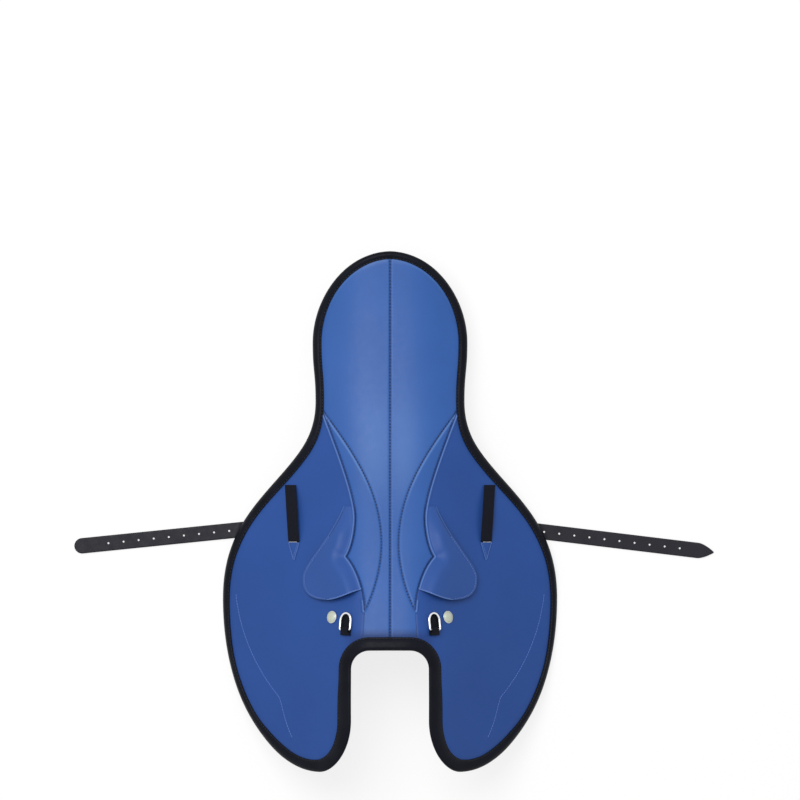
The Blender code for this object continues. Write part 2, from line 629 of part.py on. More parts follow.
def skirts():
    """Small skirts sewn into the leaf's outer seam, which lift off the stirrup bars."""
    outer_edge = chain(
        bezier((SKIRT_APEX_FROM_MIDDLE, SKIRT_TOP_AT),
               (SKIRT_APEX_FROM_MIDDLE + 0.017, SKIRT_TOP_AT - 0.0428),
               (SKIRT_WIDEST[0], SKIRT_WIDEST[1] + 0.0169), SKIRT_WIDEST),
        bezier(SKIRT_WIDEST, (SKIRT_WIDEST[0], SKIRT_WIDEST[1] - 0.0154),
               (SKIRT_FRONT[0] + 0.0259, SKIRT_FRONT[1]), SKIRT_FRONT))
    front_edge = bezier(SKIRT_INNER_END, (SKIRT_INNER_END[0] + 0.0325, SKIRT_INNER_END[1] - 0.0088),
                        (SKIRT_FRONT[0] - 0.001, SKIRT_FRONT[1]), SKIRT_FRONT)
    seam = LEAF_OUTER_SEAM[LEAF_OUTER_SEAM[:, 1] > SKIRT_INNER_END[1] + 0.001]
    inner_edge = chain(seam, front_edge)
    rows = rows_through([SKIRT_TOP_AT, LEAF_OUTER[1], LEAF_CORNER[1], SKIRT_INNER_END[1],
                         SKIRT_FRONT[1] + 0.0002], 0.017, crowded=(3,))
    inner = crossing(inner_edge, rows) + SEAM_GAP
    outer = np.maximum(crossing(outer_edge, rows), inner + 0.001)
    shares = np.linspace(0.0, 1.0, 6)
    for side, sign in SIDES.items():
        plan = plan_grid(rows, inner, outer, shares, sign)
        from_seam = np.abs(plan[..., 0]) - crossing(seam, plan[..., 1])
        swell = smooth_step(from_seam / SKIRT_RISE_RUN)
        swell = swell * (1.0 - SKIRT_HEM_FALL * smooth_step(from_seam / SKIRT_FALL_RUN - 1.0))
        swell = swell * smooth_step((SKIRT_TOP_AT - plan[..., 1]) / (SKIRT_TOP_AT - BAR_REAR_END - 0.0085))
        lift = SKIRT_SEAT_GAP + SKIRT_BULGE * swell
        level = height(plan[..., 0], plan[..., 1]) + lift
        start = Vector((sign * float(crossing(LEAF_OUTER_SEAM, SKIRT_TOP_AT)), SKIRT_TOP_AT, 0.0))
        end = Vector((sign * SKIRT_INNER_END[0], SKIRT_INNER_END[1], 0.0))
        start.z = float(height(start.x, start.y))
        end.z = float(height(end.x, end.y))
        hinge = (end - start).normalized()
        across = Vector((sign, 0.0, 0.0))
        square = hinge.cross(across).normalized()
        frame = Matrix((hinge.cross(square), hinge, square)).transposed().to_4x4()
        frame.translation = start
        sheet("skirt_" + side, plan, level + SKIRT_THICKNESS, level, FLAP_BLUE, frame)


def surcingle_loops():
    """Webbing loops that keep the surcingle in place, and the leather tab at each front end."""
    steps = np.linspace(0.0, 1.0, 15)
    along = LOOP_REAR[1] + (LOOP_FRONT[1] - LOOP_REAR[1]) * steps
    middle = LOOP_REAR[0] + (LOOP_FRONT[0] - LOOP_REAR[0]) * steps
    tab_rows = np.linspace(LOOP_FRONT[1] - 0.0006, LOOP_FRONT[1] - TAB_LENGTH, 5)
    tab_half = np.linspace(0.5 * LOOP_WIDTH, 0.5 * TAB_TIP_WIDTH, 5)
    for side, sign in SIDES.items():
        plan = plan_grid(along, middle - 0.5 * LOOP_WIDTH, middle + 0.5 * LOOP_WIDTH,
                         np.linspace(0.0, 1.0, 3), sign)
        bow = LOOP_BOW * np.sin(np.pi * steps)[:, None] ** 0.8
        level = height(plan[..., 0], plan[..., 1]) + LOOP_SEAT_GAP + bow
        sheet("surcingle_loop_" + side, plan, level + LOOP_THICKNESS, level, ELASTIC_BLACK)
        tab = plan_grid(tab_rows, LOOP_FRONT[0] - tab_half, LOOP_FRONT[0] + tab_half,
                        np.linspace(0.0, 1.0, 3), sign)
        under = height(tab[..., 0], tab[..., 1]) + LOOP_SEAT_GAP
        sheet("loop_tab_" + side, tab, under + TAB_THICKNESS, under, FLAP_BLUE)


def tree_half_width(along):
    """Half width of the tree from its rounded rear to the points of its head."""
    marks = [TREE_REAR_AT - TREE_REAR_ROUNDING, TREE_WAIST_AT, TREE_BAR_AT, TREE_POINT_AT, TREE_FRONT_AT]
    widths = [TREE_SEAT_HALF, TREE_WAIST_HALF, TREE_BAR_HALF, TREE_POINT_HALF, 0.94 * TREE_POINT_HALF]
    base = smooth_through(marks, widths, along)
    end = np.clip((along - marks[0]) / TREE_REAR_ROUNDING, 0.0, 1.0)
    return base * np.sqrt(np.maximum(1.0 - 0.98 * end ** 2.2, 0.02))


def tree():
    """Moulded tree with its slot, and holes for the rivets of the bars and the head plate."""
    rounding_at = TREE_REAR_AT - TREE_REAR_ROUNDING
    rear = rows_through([rounding_at, TREE_REAR_AT], 0.030, crowded=(0,))[::-1]
    front = rows_through([rounding_at, TREE_WAIST_AT, TREE_POINT_AT, TREE_FRONT_AT], 0.030)
    rows = np.append(rear, front[1:])
    reach = tree_half_width(rows)
    plan = plan_grid(rows, -reach, reach, np.linspace(0.0, 1.0, 15))
    shell = layer("tree", plan, TREE_TOP, TREE_BOTTOM, TREE_GREY)
    angles = np.linspace(0.0, math.pi, 10)
    end = TREE_SLOT_HALF * np.column_stack([np.cos(angles), np.sin(angles)])
    outline = np.vstack([(0.0, TREE_SLOT_REAR - TREE_SLOT_HALF) + end,
                         (0.0, TREE_SLOT_FRONT + TREE_SLOT_HALF) - end])
    count = len(outline)
    points = [(x, y, z) for z in (-0.01, 0.25) for x, y in outline]
    faces = [tuple(range(count)), tuple(range(2 * count - 1, count - 1, -1))]
    faces += [(k, count + k, count + (k + 1) % count, (k + 1) % count) for k in range(count)]
    cut(shell, solid("tree_slot", points, faces, TREE_GREY))
    return shell


def rivet(name, x, y, top_depth, bottom_depth, drilled):
    """Rivet square to the tree, with a flush tail on top and its head underneath."""
    frame = surface_frame(x, y)
    frame.translation = Vector((x, y, float(height(x, y)) - bottom_depth))
    top = (bottom_depth - top_depth) * frame.col[2][2]
    bottom = -RIVET_HEAD_GAP
    head = bottom - RIVET_HEAD_THICKNESS
    profile = [(0.0, head), (0.75 * RIVET_HEAD_RADIUS, head), (RIVET_HEAD_RADIUS, bottom),
               (RIVET_RADIUS, bottom), (RIVET_RADIUS, top), (0.0, top)]
    lathe(name, profile, 8, STEEL, frame)
    bore = RIVET_RADIUS + RIVET_CLEARANCE
    low = bottom - 0.003
    high = top + 0.003
    drill = lathe(name + "_bore", [(0.0, low), (bore, low), (bore, high), (0.0, high)], 8, STEEL, frame)
    for piece in drilled:
        cut(piece, drill)


def head_plate(shell):
    """Steel plate riveted under the arch of the tree's head."""
    front = TREE_FRONT_AT + HEAD_PLATE_SETBACK
    rows = np.linspace(front + HEAD_PLATE_WIDTH, front, 3)
    across = np.linspace(-1.0, 1.0, 13) * HEAD_PLATE_HALF
    plan = np.dstack(np.meshgrid(across, rows))
    top = TREE_BOTTOM + LAYER_GAP
    bottom = top + HEAD_PLATE_THICKNESS
    plate = layer("head_plate", plan, top, bottom, STEEL)
    middle = front + 0.5 * HEAD_PLATE_WIDTH
    for side, sign in SIDES.items():
        for place, share in (("upper", 0.35), ("lower", 0.82)):
            rivet(f"head_rivet_{place}_{side}", sign * share * HEAD_PLATE_HALF, middle,
                  TREE_TOP + RIVET_CLEARANCE, bottom, [shell, plate])


def stirrup_bars(shell):
    """Forged bars: a straight raised finger open to the rear, and a foot riveted on the tree."""
    chamfered = [(-1.0, BAR_CHAMFER), (BAR_CHAMFER - 1.0, 0.0), (1.0 - BAR_CHAMFER, 0.0), (1.0, BAR_CHAMFER),
                 (1.0, 1.0 - BAR_CHAMFER), (1.0 - BAR_CHAMFER, 1.0), (BAR_CHAMFER - 1.0, 1.0),
                 (-1.0, 1.0 - BAR_CHAMFER)]
    plate = [(-1.0, 0.0), (-0.33, 0.0), (0.33, 0.0), (1.0, 0.0), (1.0, 1.0), (0.33, 1.0), (-0.33, 1.0),
             (-1.0, 1.0)]
    half = 0.5 * BAR_WIDTH
    foot_start = BAR_FRONT_END - BAR_FOOT_SETBACK
    foot_end = foot_start - BAR_FOOT_LENGTH
    foot_top = TREE_TOP - LAYER_GAP
    finger_front = BAR_FRONT_END + BAR_BEND_LENGTH
    finger_middle = 0.5 * (BAR_REAR_END + finger_front)
    finger = [(BAR_REAR_END, 0.62 * half, BAR_RISE + 0.0010, 0.75),
              (BAR_REAR_END - 0.003, half, BAR_RISE, 1.0),
              (finger_front, half, BAR_RISE, 1.0)]
    bend = [(BAR_FRONT_END, 1.15 * half, -0.35 * foot_top, 1.0),
            (BAR_FRONT_END - 0.5 * BAR_FOOT_SETBACK, 1.4 * half, -0.85 * foot_top, 0.75)]
    for side, sign in SIDES.items():
        middle = surface_frame(sign * BAR_FROM_MIDDLE, finger_middle)
        slope = [-middle.col[2][axis] / middle.col[2][2] for axis in (0, 1)]
        sections = []
        for along, reach, rise, share in finger:
            section = bar_section(sign, along, reach, chamfered)
            level = middle.translation.z + slope[0] * (section[:, 0] - sign * BAR_FROM_MIDDLE)
            level += slope[1] * (along - finger_middle)
            section[:, 2] = level + rise + share * BAR_THICKNESS * section[:, 2]
            sections.append(section)
        for along, reach, rise, share in bend:
            section = bar_section(sign, along, reach, chamfered)
            section[:, 2] = height(section[:, 0], along) + rise + share * BAR_THICKNESS * section[:, 2]
            sections.append(section)
        for along in (foot_start, foot_start - 0.002, foot_end):
            section = bar_section(sign, along, 0.5 * BAR_FOOT_WIDTH, plate)
            section[:, 2] = height(section[:, 0], along) - foot_top + BAR_FOOT_THICKNESS * section[:, 2]
            sections.append(section)
        bar = sweep("stirrup_bar_" + side, sections, STEEL, closed=False)
        for place, shift in (("inner", -RIVET_SPREAD), ("outer", RIVET_SPREAD)):
            rivet(f"bar_rivet_{place}_{side}", sign * (BAR_FROM_MIDDLE + shift * BAR_FOOT_WIDTH),
                  0.5 * (foot_start - 0.002 + foot_end), foot_top - BAR_FOOT_THICKNESS, TREE_BOTTOM,
                  [shell, bar])


def bar_section(sign, along, reach, outline):
    """Section of the bar across the saddle: X and Y in metres, and Z as a share of its thickness."""
    return np.array([(sign * (BAR_FROM_MIDDLE + reach * across), along, rise) for across, rise in outline])


def pad_top_depth(along):
    """Depth of the pads' upper face, lower at the front where the rivets and head plate are."""
    rivet_depth = RIVET_HEAD_THICKNESS + RIVET_HEAD_GAP
    front = TREE_BOTTOM + LAYER_GAP + HEAD_PLATE_THICKNESS + rivet_depth + 2.0 * LAYER_GAP
    rear = TREE_BOTTOM + PAD_GAP
    return rear + (front - rear) * smooth_step((BAR_FRONT_END + 0.020 - along) / 0.018)


def panel_pads():
    """Flocked pads that bear on the horse's back, one on each side of the gullet."""
    rounding_at = PAD_REAR_AT - PAD_END_ROUNDING
    rear = rows_through([rounding_at, PAD_REAR_AT], 0.5 * PAD_END_ROUNDING, crowded=(0,))[::-1]
    front = rows_through([rounding_at, TREE_WAIST_AT, BAR_FRONT_END, PAD_FRONT_AT], ROW_SPACING)
    rows = np.append(rear, front[1:])
    end = np.clip((rows - rounding_at) / PAD_END_ROUNDING, 0.0, 1.0)
    close = 1.0 - np.sqrt(np.maximum(1.0 - 0.96 * end ** 2, 0.0))
    reach = np.minimum(PAD_OUTER, crossing(OUTER_EDGE, rows) - PAD_RIM_INSET)
    middle = 0.5 * (GULLET_HALF + reach)
    inner = GULLET_HALF + close * (middle - GULLET_HALF)
    outer = reach - close * (reach - middle)
    shares = (0.0, 0.10, 0.28, 0.5, 0.72, 0.90, 1.0)
    depths = np.array(PAD_DEPTHS)
    for side, sign in SIDES.items():
        plan = plan_grid(rows, inner, outer, shares, sign)
        level = height(plan[..., 0], plan[..., 1])
        top = level - pad_top_depth(plan[..., 1])
        depth = smooth_through(depths[:, 0], depths[:, 1], plan[..., 1])
        across = np.abs(plan[..., 0])
        from_edge = np.minimum(across - inner[:, None], outer[:, None] - across)
        toward_edge = 1.0 - np.minimum(from_edge / PAD_ROUNDING_RUN, 1.0)
        rounding = PAD_ROUNDING * (1.0 - np.sqrt(np.maximum(1.0 - toward_edge ** 2, 0.0)))
        bottom = np.minimum(np.maximum(level - TREE_BOTTOM - depth, 0.0) + rounding, top - 0.004)
        sheet("panel_pad_" + side, plan, top, bottom, LINING_BLACK)


def billet_web():
    """Web over the waist of the tree, with a billet sewn under each end."""
    columns = np.linspace(-WEB_END, WEB_END, 19)
    rows = np.linspace(BILLET_AT + WEB_HALF_WIDTH, BILLET_AT - WEB_HALF_WIDTH, 4)
    plan = np.dstack(np.meshgrid(columns, rows))
    layer("billet_web", plan, WEB_TOP, WEB_TOP + WEB_THICKNESS, WEB_WHITE)


def billet_plan(side, length):
    """Plan grid of a girth strap from its root to its tip, and the direction that it runs in."""
    slant = math.radians(BILLET_SLANT[side])
    outward = np.array([SIDES[side] * math.cos(slant), -math.sin(slant)])
    rearward = np.array([SIDES[side] * math.sin(slant), math.cos(slant)])
    taper_at = length - BILLET_POINT[side]
    bend_end = (FLAP_HALF_WIDTH - BILLET_ROOT) / math.cos(slant)
    tip = length - BILLET_POINT[side] * (1.0 - np.sin(np.radians([25.0, 50.0, 70.0, 87.0])))
    stops = np.concatenate([np.linspace(0.0, bend_end, 13), np.linspace(bend_end, taper_at, 5)[1:], tip])
    taper = np.clip((stops - taper_at) / BILLET_POINT[side], 0.0, 1.0)
    rounded = np.sqrt(np.maximum(1.0 - taper ** 2, 0.0015))
    pointed = 1.0 - 0.93 * taper ** 1.6
    half = 0.5 * BILLET_WIDTH * (pointed if side == "right" else rounded)
    root = np.array([SIDES[side] * BILLET_ROOT, BILLET_AT])
    middle = root + stops[:, None] * outward
    offsets = half[:, None] * np.array([-1.0, 0.0, 1.0])
    return middle[:, None, :] + offsets[..., None] * rearward, outward, rearward


def billets():
    """Girth straps: sewn under the web, down under the flap and out over the ground."""
    top_depth = WEB_TOP + WEB_THICKNESS + BILLET_GAP
    for side, sign in SIDES.items():
        length = (BILLET_REACH[side] - BILLET_ROOT) / math.cos(math.radians(BILLET_SLANT[side]))
        plan, outward, rearward = billet_plan(side, length)
        gap = height(plan[..., 0], plan[..., 1]) - top_depth - BILLET_THICKNESS - BILLET_FLOOR_GAP
        landing = BILLET_LANDING_RADIUS * (1.0 - np.exp(-np.maximum(gap, 0.0) / 0.004))
        bottom = BILLET_FLOOR_GAP + np.maximum(gap, 0.0) + landing
        bottom = np.where(np.abs(plan[..., 0]) > FLAP_HALF_WIDTH + 0.004, BILLET_FLOOR_GAP, bottom)
        root = np.array([sign * BILLET_ROOT, BILLET_AT])
        across = 0.5 * BILLET_WIDTH * rearward
        rise = float(height(*(root + across)) - height(*(root - across)))
        hinge = Vector((*(2.0 * across), rise)).normalized()
        outer = hinge.cross(Vector((0.0, 0.0, 1.0))).normalized()
        frame = Matrix((outer, hinge, outer.cross(hinge))).transposed().to_4x4()
        frame.translation = Vector((*root, float(height(*root)) - top_depth - 0.5 * BILLET_THICKNESS))
        strap = sheet("billet_" + side, plan, bottom + BILLET_THICKNESS, bottom, STRAP_BLACK, frame)
        profile = [(0.0, -0.01), (BILLET_HOLE_RADIUS, -0.01), (BILLET_HOLE_RADIUS, 0.03), (0.0, 0.03)]
        for number in range(BILLET_HOLE_COUNT):
            place = length - BILLET_FIRST_HOLE - number * BILLET_HOLE_PITCH
            upright = Matrix.Translation((*(root + outward * place), 0.0))
            cut(strap, lathe(f"punch_{side}_{number}", profile, 8, STRAP_BLACK, upright))


def dees():
    """D rings that lie back on the cover, each held by a folded leather chape."""
    radius = DEE_WIRE_RADIUS
    lift = radius + CHAPE_THICKNESS + DEE_SEAT_GAP
    half = 0.5 * DEE_WIDTH
    side_run = DEE_LENGTH - half
    path = [(-0.6 * half, 0.0), (0.0, 0.0), (0.6 * half, 0.0),
            (half - 0.5 * DEE_CORNER, 0.25 * DEE_CORNER), (half, DEE_CORNER), (half, 0.55 * side_run)]
    path += [(half * math.cos(a), side_run + half * math.sin(a)) for a in np.linspace(0.0, math.pi, 11)]
    path += [(-half, 0.55 * side_run), (-half, DEE_CORNER), (0.5 * DEE_CORNER - half, 0.25 * DEE_CORNER)]
    path = np.array(path)
    for side, sign in SIDES.items():
        frame = surface_frame(sign * DEE_FROM_MIDDLE, DEE_BAR_AT, lift)
        sections = []
        for place in range(len(path)):
            before = path[place - 1]
            after = path[(place + 1) % len(path)]
            run = (after - before) / np.hypot(*(after - before))
            outward = Vector((run[1], -run[0], 0.0))
            ring = []
            for step in range(6):
                angle = math.pi * step / 3.0
                local = Vector((*path[place], 0.0)) + outward * radius * math.cos(angle)
                local.z += radius * math.sin(angle)
                ring.append(tuple(frame @ local))
            sections.append(np.array(ring))
        sweep("dee_" + side, sections, CHROME, frame)
        chape("dee_chape_" + side, frame)


def chape(name, frame):
    """Leather strip folded round the dee's bar, with both tails sewn flat in front of it."""
    inside = DEE_WIRE_RADIUS + DEE_CLEARANCE
    outside = inside + CHAPE_THICKNESS
    upper_tail = LAYER_GAP - inside
    angles = np.radians(np.linspace(90.0, -90.0, 5))
    outer = [(outside * math.cos(a), outside * math.sin(a)) for a in angles]
    inner = [(inside * math.cos(a), inside * math.sin(a)) for a in angles[::-1]]
    profile = outer + [(-CHAPE_TAIL, -outside), (-CHAPE_TAIL, -inside)] + inner
    profile += [(-0.35 * CHAPE_TAIL, 0.6 * inside), (-CHAPE_TAIL, upper_tail),
                (-CHAPE_TAIL, upper_tail + CHAPE_THICKNESS), (-0.35 * CHAPE_TAIL, 0.86 * outside)]
    sections = []
    for across in (-0.5 * CHAPE_WIDTH, 0.5 * CHAPE_WIDTH):
        sections.append(np.array([tuple(frame @ Vector((across, y, z))) for y, z in profile]))
    sweep(name, sections, BLACK_LEATHER, frame, closed=False)


def head_studs():
    """Domed studs in front of the skirts."""
    for side, sign in SIDES.items():
        frame = surface_frame(sign * STUD_FROM_MIDDLE, STUD_AT, STUD_SEAT_GAP)
        rim = 0.3 * STUD_HEIGHT
        profile = [(0.0, 0.0), (0.94 * STUD_RADIUS, 0.0), (STUD_RADIUS, rim)]
        profile += [(STUD_RADIUS * math.cos(a), rim + (STUD_HEIGHT - rim) * math.sin(a))
                    for a in np.radians([25.0, 50.0, 72.0])]
        profile += [(0.0, STUD_HEIGHT)]
        lathe("head_stud_" + side, profile, 16, STUD_METAL, frame)


seat_covers()
waist_leaves()
seat_foam()
flaps()
edge_binding()
skirts()
surcingle_loops()
tree_shell = tree()
head_plate(tree_shell)
stirrup_bars(tree_shell)
panel_pads()
billet_web()
billets()
dees()
head_studs()
bpy.context.view_layer.update()
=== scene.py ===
"""Racing saddle, dressed: every piece with its finish, in metres, +Z up, the cantle toward +Y."""
import math

import bmesh
import bpy
import numpy as np
from mathutils import Matrix, Vector


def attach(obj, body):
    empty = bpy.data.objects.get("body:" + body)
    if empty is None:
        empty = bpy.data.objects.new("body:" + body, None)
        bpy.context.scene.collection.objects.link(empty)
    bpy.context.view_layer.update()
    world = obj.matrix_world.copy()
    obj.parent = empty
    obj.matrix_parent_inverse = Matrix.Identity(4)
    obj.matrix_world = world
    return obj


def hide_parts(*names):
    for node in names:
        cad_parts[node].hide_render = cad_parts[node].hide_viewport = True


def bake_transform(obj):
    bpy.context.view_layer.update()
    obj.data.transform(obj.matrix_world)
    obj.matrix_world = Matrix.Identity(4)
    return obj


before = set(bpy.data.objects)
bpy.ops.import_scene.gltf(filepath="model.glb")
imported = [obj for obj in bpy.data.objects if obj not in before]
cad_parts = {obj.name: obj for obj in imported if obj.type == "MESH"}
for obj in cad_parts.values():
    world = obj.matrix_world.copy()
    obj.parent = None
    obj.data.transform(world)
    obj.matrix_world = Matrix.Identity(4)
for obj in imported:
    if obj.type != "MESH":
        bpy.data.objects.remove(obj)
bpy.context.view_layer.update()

# The tree: the moulded shell that carries the saddle, slotted down its middle over the spine.
# It is glass-filled nylon with a fine grain from its mould. Its ridge and slope give every
# other layer its shape, because leather, foam and web are all pulled down over it.
RIDGE_FLAT = 0.008
SHOULDER = 0.078
SADDLE_HALF_WIDTH = 0.207
WAIST_HALF_WIDTH = 0.0925
TREE_DEPTH = 0.0101
TREE_WALL = 0.0040
TREE_REAR = 0.298
TREE_HEAD = -0.158
REAR_ROUNDING = 0.060
SLOT_HALF_WIDTH = 0.018
SLOT_REAR = 0.197
SLOT_FRONT = -0.067
# Each station's place along the saddle, with the height of the ridge and of the edge there.
RIDGE = [(0.3245, 0.066, 0.0428), (0.250, 0.062, 0.0388), (0.119, 0.074, 0.0504),
         (0.039, 0.095, 0.0345), (-0.060, 0.129, 0.0165), (-0.110, 0.144, 0.0113),
         (-0.173, 0.157, 0.0145), (-0.250, 0.161, 0.0345), (-0.3245, 0.159, 0.1080)]


def curve(start, start_pull, end_pull, end, count=25):
    """Points of one smooth curve on the plan, from start to end."""
    share = np.linspace(0.0, 1.0, count)[:, None]
    rest = 1.0 - share
    points = rest ** 3 * np.array(start) + 3.0 * rest ** 2 * share * np.array(start_pull)
    return points + 3.0 * rest * share ** 2 * np.array(end_pull) + share ** 3 * np.array(end)


def chain(*curves):
    """One line from curves that meet end to start."""
    return np.vstack([curves[0]] + [later[1:] for later in curves[1:]])


def crossing(line, along):
    """Distance from the middle where a line passes each place along the saddle."""
    order = np.argsort(line[:, 1])
    return np.interp(along, line[order, 1], line[order, 0])


def smooth_through(stations, values, along):
    """Smooth curve through the values at the stations."""
    order = np.argsort(stations)
    stations = np.asarray(stations)[order]
    values = np.asarray(values)[order]
    slopes = np.gradient(values, stations)
    along = np.clip(along, stations[0], stations[-1])
    span = np.clip(np.searchsorted(stations, along) - 1, 0, len(stations) - 2)
    width = stations[span + 1] - stations[span]
    share = (along - stations[span]) / width
    start = (1.0 + 2.0 * share) * (1.0 - share) ** 2 * values[span]
    end = share ** 2 * (3.0 - 2.0 * share) * values[span + 1]
    bends = share * (1.0 - share) ** 2 * slopes[span] + share ** 2 * (share - 1.0) * slopes[span + 1]
    return start + end + width * bends


def fall(from_middle):
    """How far the saddle's top has fallen from its ridge, for a steepness of one."""
    share = np.clip((from_middle - RIDGE_FLAT) / (SHOULDER - RIDGE_FLAT), 0.0, 1.0)
    beyond = np.maximum(from_middle - SHOULDER, 0.0)
    easing = 0.15 * beyond ** 2 / (2.0 * (SADDLE_HALF_WIDTH - SHOULDER))
    return 1.05 * ((SHOULDER - RIDGE_FLAT) * (share ** 3 - 0.5 * share ** 4) + beyond) - easing


# The saddle's outline on the plan: cantle, waist, flap and toe. The bound edge follows it.
CANTLE_EDGE = curve((0.0, 0.3245), (0.060, 0.3245), (0.0962, 0.26375), (0.0962, 0.212), 61)
WAIST_EDGE = curve((0.0962, 0.212), (0.0962, 0.17525), (0.0925, 0.17525), (0.0925, 0.1385), 17)
FLARE_EDGE = curve((0.0925, 0.1385), (0.0925, 0.03916), (0.207, 0.02412), (0.207, -0.108), 81)
FRONT_EDGE = curve((0.207, -0.108), (0.207, -0.2195), (0.1594, -0.3245), (0.088, -0.3245), 97)
BINDING_REACH = 0.0024


def moved_in(line, distance):
    """The line moved into the leather, square to its run from the cantle to the pommel."""
    run = np.gradient(line, axis=0)
    length = np.hypot(run[:, 0], run[:, 1])[:, None]
    return line + np.column_stack([run[:, 1], -run[:, 0]]) / length * np.reshape(distance, (-1, 1))


OUTER_CUT = moved_in(chain(CANTLE_EDGE, WAIST_EDGE, FLARE_EDGE, FRONT_EDGE), BINDING_REACH)
STATION_AT, RIDGE_HEIGHT, HEM_HEIGHT = np.array(RIDGE).T
HEM_REACH = np.maximum(crossing(OUTER_CUT, STATION_AT), WAIST_HALF_WIDTH)
STEEPNESS = (RIDGE_HEIGHT - HEM_HEIGHT) / fall(HEM_REACH)


def top_of(x, y):
    """Height of the saddle's leather at a place on the plan."""
    ridge = smooth_through(STATION_AT, RIDGE_HEIGHT, y)
    return ridge - smooth_through(STATION_AT, STEEPNESS, y) * fall(np.abs(x))


def across(inner, outer, edge_steps, middle_count):
    """Places across each row: close together at both edges, and even in between."""
    width = (outer - inner)[:, None]
    steps = np.array(edge_steps)[None, :] * np.minimum(1.0, 0.5 * width / (edge_steps[-1] + 0.002))
    low = inner[:, None] + steps
    high = (outer[:, None] - steps)[:, ::-1]
    share = np.linspace(0.0, 1.0, middle_count + 2)[None, 1:-1]
    middle = low[:, -1:] * (1.0 - share) + high[:, :1] * share
    return np.hstack([low, middle, high])


def along_rows(rows, x):
    """Each row's place along the saddle, once for every place across it."""
    return np.repeat(rows[:, None], x.shape[1], axis=1)


def just_added(name):
    """The piece that was added last, under its name."""
    piece = bpy.context.object
    piece.name = name
    piece.data.name = name
    return piece


def face_outward():
    """Turns every face of the active piece outward."""
    bpy.ops.object.mode_set(mode="EDIT")
    bpy.ops.mesh.select_all(action="SELECT")
    bpy.ops.mesh.normals_make_consistent(inside=False)
    bpy.ops.object.mode_set(mode="OBJECT")


def lay_sheet(name, x, y, top, bottom):
    """A sheet pulled over the tree: a flat grid, thickened, then both faces pulled to their heights."""
    rows, columns = x.shape
    bpy.ops.object.select_all(action="DESELECT")
    bpy.ops.mesh.primitive_grid_add(x_subdivisions=columns - 1, y_subdivisions=rows - 1, size=1.0)
    piece = just_added(name)
    thickness = piece.modifiers.new("thickness", "SOLIDIFY")
    thickness.thickness = 0.001
    bpy.ops.object.modifier_apply(modifier="thickness")
    faces = np.stack([np.dstack([x, y, top]), np.dstack([x, y, bottom])])
    piece.data.vertices.foreach_set("co", faces.ravel())
    piece.data.update()
    face_outward()
    bpy.ops.object.shade_smooth_by_angle(angle=math.radians(60.0))
    return piece


def new_finish(name, colour, roughness, metallic=0.0):
    """A material with its shader's plain values, and the Object coordinates that its patterns use."""
    material = bpy.data.materials.new(name)
    material.use_nodes = True
    tree = material.node_tree
    shader = tree.nodes["Principled BSDF"]
    shader.inputs["Base Color"].default_value = (*colour, 1.0)
    shader.inputs["Roughness"].default_value = roughness
    shader.inputs["Metallic"].default_value = metallic
    place = tree.nodes.new("ShaderNodeTexCoord").outputs["Object"]
    return material, tree, shader, place


def mottle(tree, place, scale, detail=2.0):
    """Cloudy noise, from 0 to 1."""
    noise = tree.nodes.new("ShaderNodeTexNoise")
    noise.inputs["Scale"].default_value = scale
    noise.inputs["Detail"].default_value = detail
    tree.links.new(place, noise.inputs["Vector"])
    return noise.outputs["Fac"]


def pebbles(tree, place, scale, feature="SMOOTH_F1"):
    """Rounded cells, for leather grain and foam."""
    cells = tree.nodes.new("ShaderNodeTexVoronoi")
    cells.feature = feature
    cells.inputs["Scale"].default_value = scale
    tree.links.new(place, cells.inputs["Vector"])
    return cells.outputs["Distance"]


def spread_tone(tree, field, low, high, socket, start=0.3, end=0.7):
    """Runs the socket from the low tone to the high one as the field goes from start to end."""
    ramp = tree.nodes.new("ShaderNodeValToRGB")
    for stop, at, tone in zip(ramp.color_ramp.elements, (start, end), (low, high)):
        stop.position = at
        stop.color = (*tone, 1.0) if len(tone) == 3 else (tone[0], tone[0], tone[0], 1.0)
    tree.links.new(field, ramp.inputs["Fac"])
    tree.links.new(ramp.outputs["Color"], socket)


def raise_grain(tree, shader, field, height):
    """Adds a relief to the shader, over any that is there."""
    bump = tree.nodes.new("ShaderNodeBump")
    bump.inputs["Distance"].default_value = height
    bump.inputs["Strength"].default_value = 1.0
    tree.links.new(field, bump.inputs["Height"])
    if shader.inputs["Normal"].is_linked:
        tree.links.new(shader.inputs["Normal"].links[0].from_socket, bump.inputs["Normal"])
    tree.links.new(bump.outputs["Normal"], shader.inputs["Normal"])


def dress(piece, material, slot, body, *nodes):
    """Gives the piece its material, hides the imported nodes that it replaces, and puts it under its body
    where one body carries all of it. The slot is not used.
    """
    piece.data.materials.clear()
    piece.data.materials.append(material)
    if body:
        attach(piece, body)
    if nodes:
        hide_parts(*nodes)
    return piece


nylon, tree, shader, place = new_finish("moulded_nylon", (0.060, 0.062, 0.066), 0.5)
spread_tone(tree, mottle(tree, place, 60.0), (0.050, 0.052, 0.056), (0.074, 0.076, 0.080),
            shader.inputs["Base Color"])
raise_grain(tree, shader, mottle(tree, place, 1400.0), 0.00008)

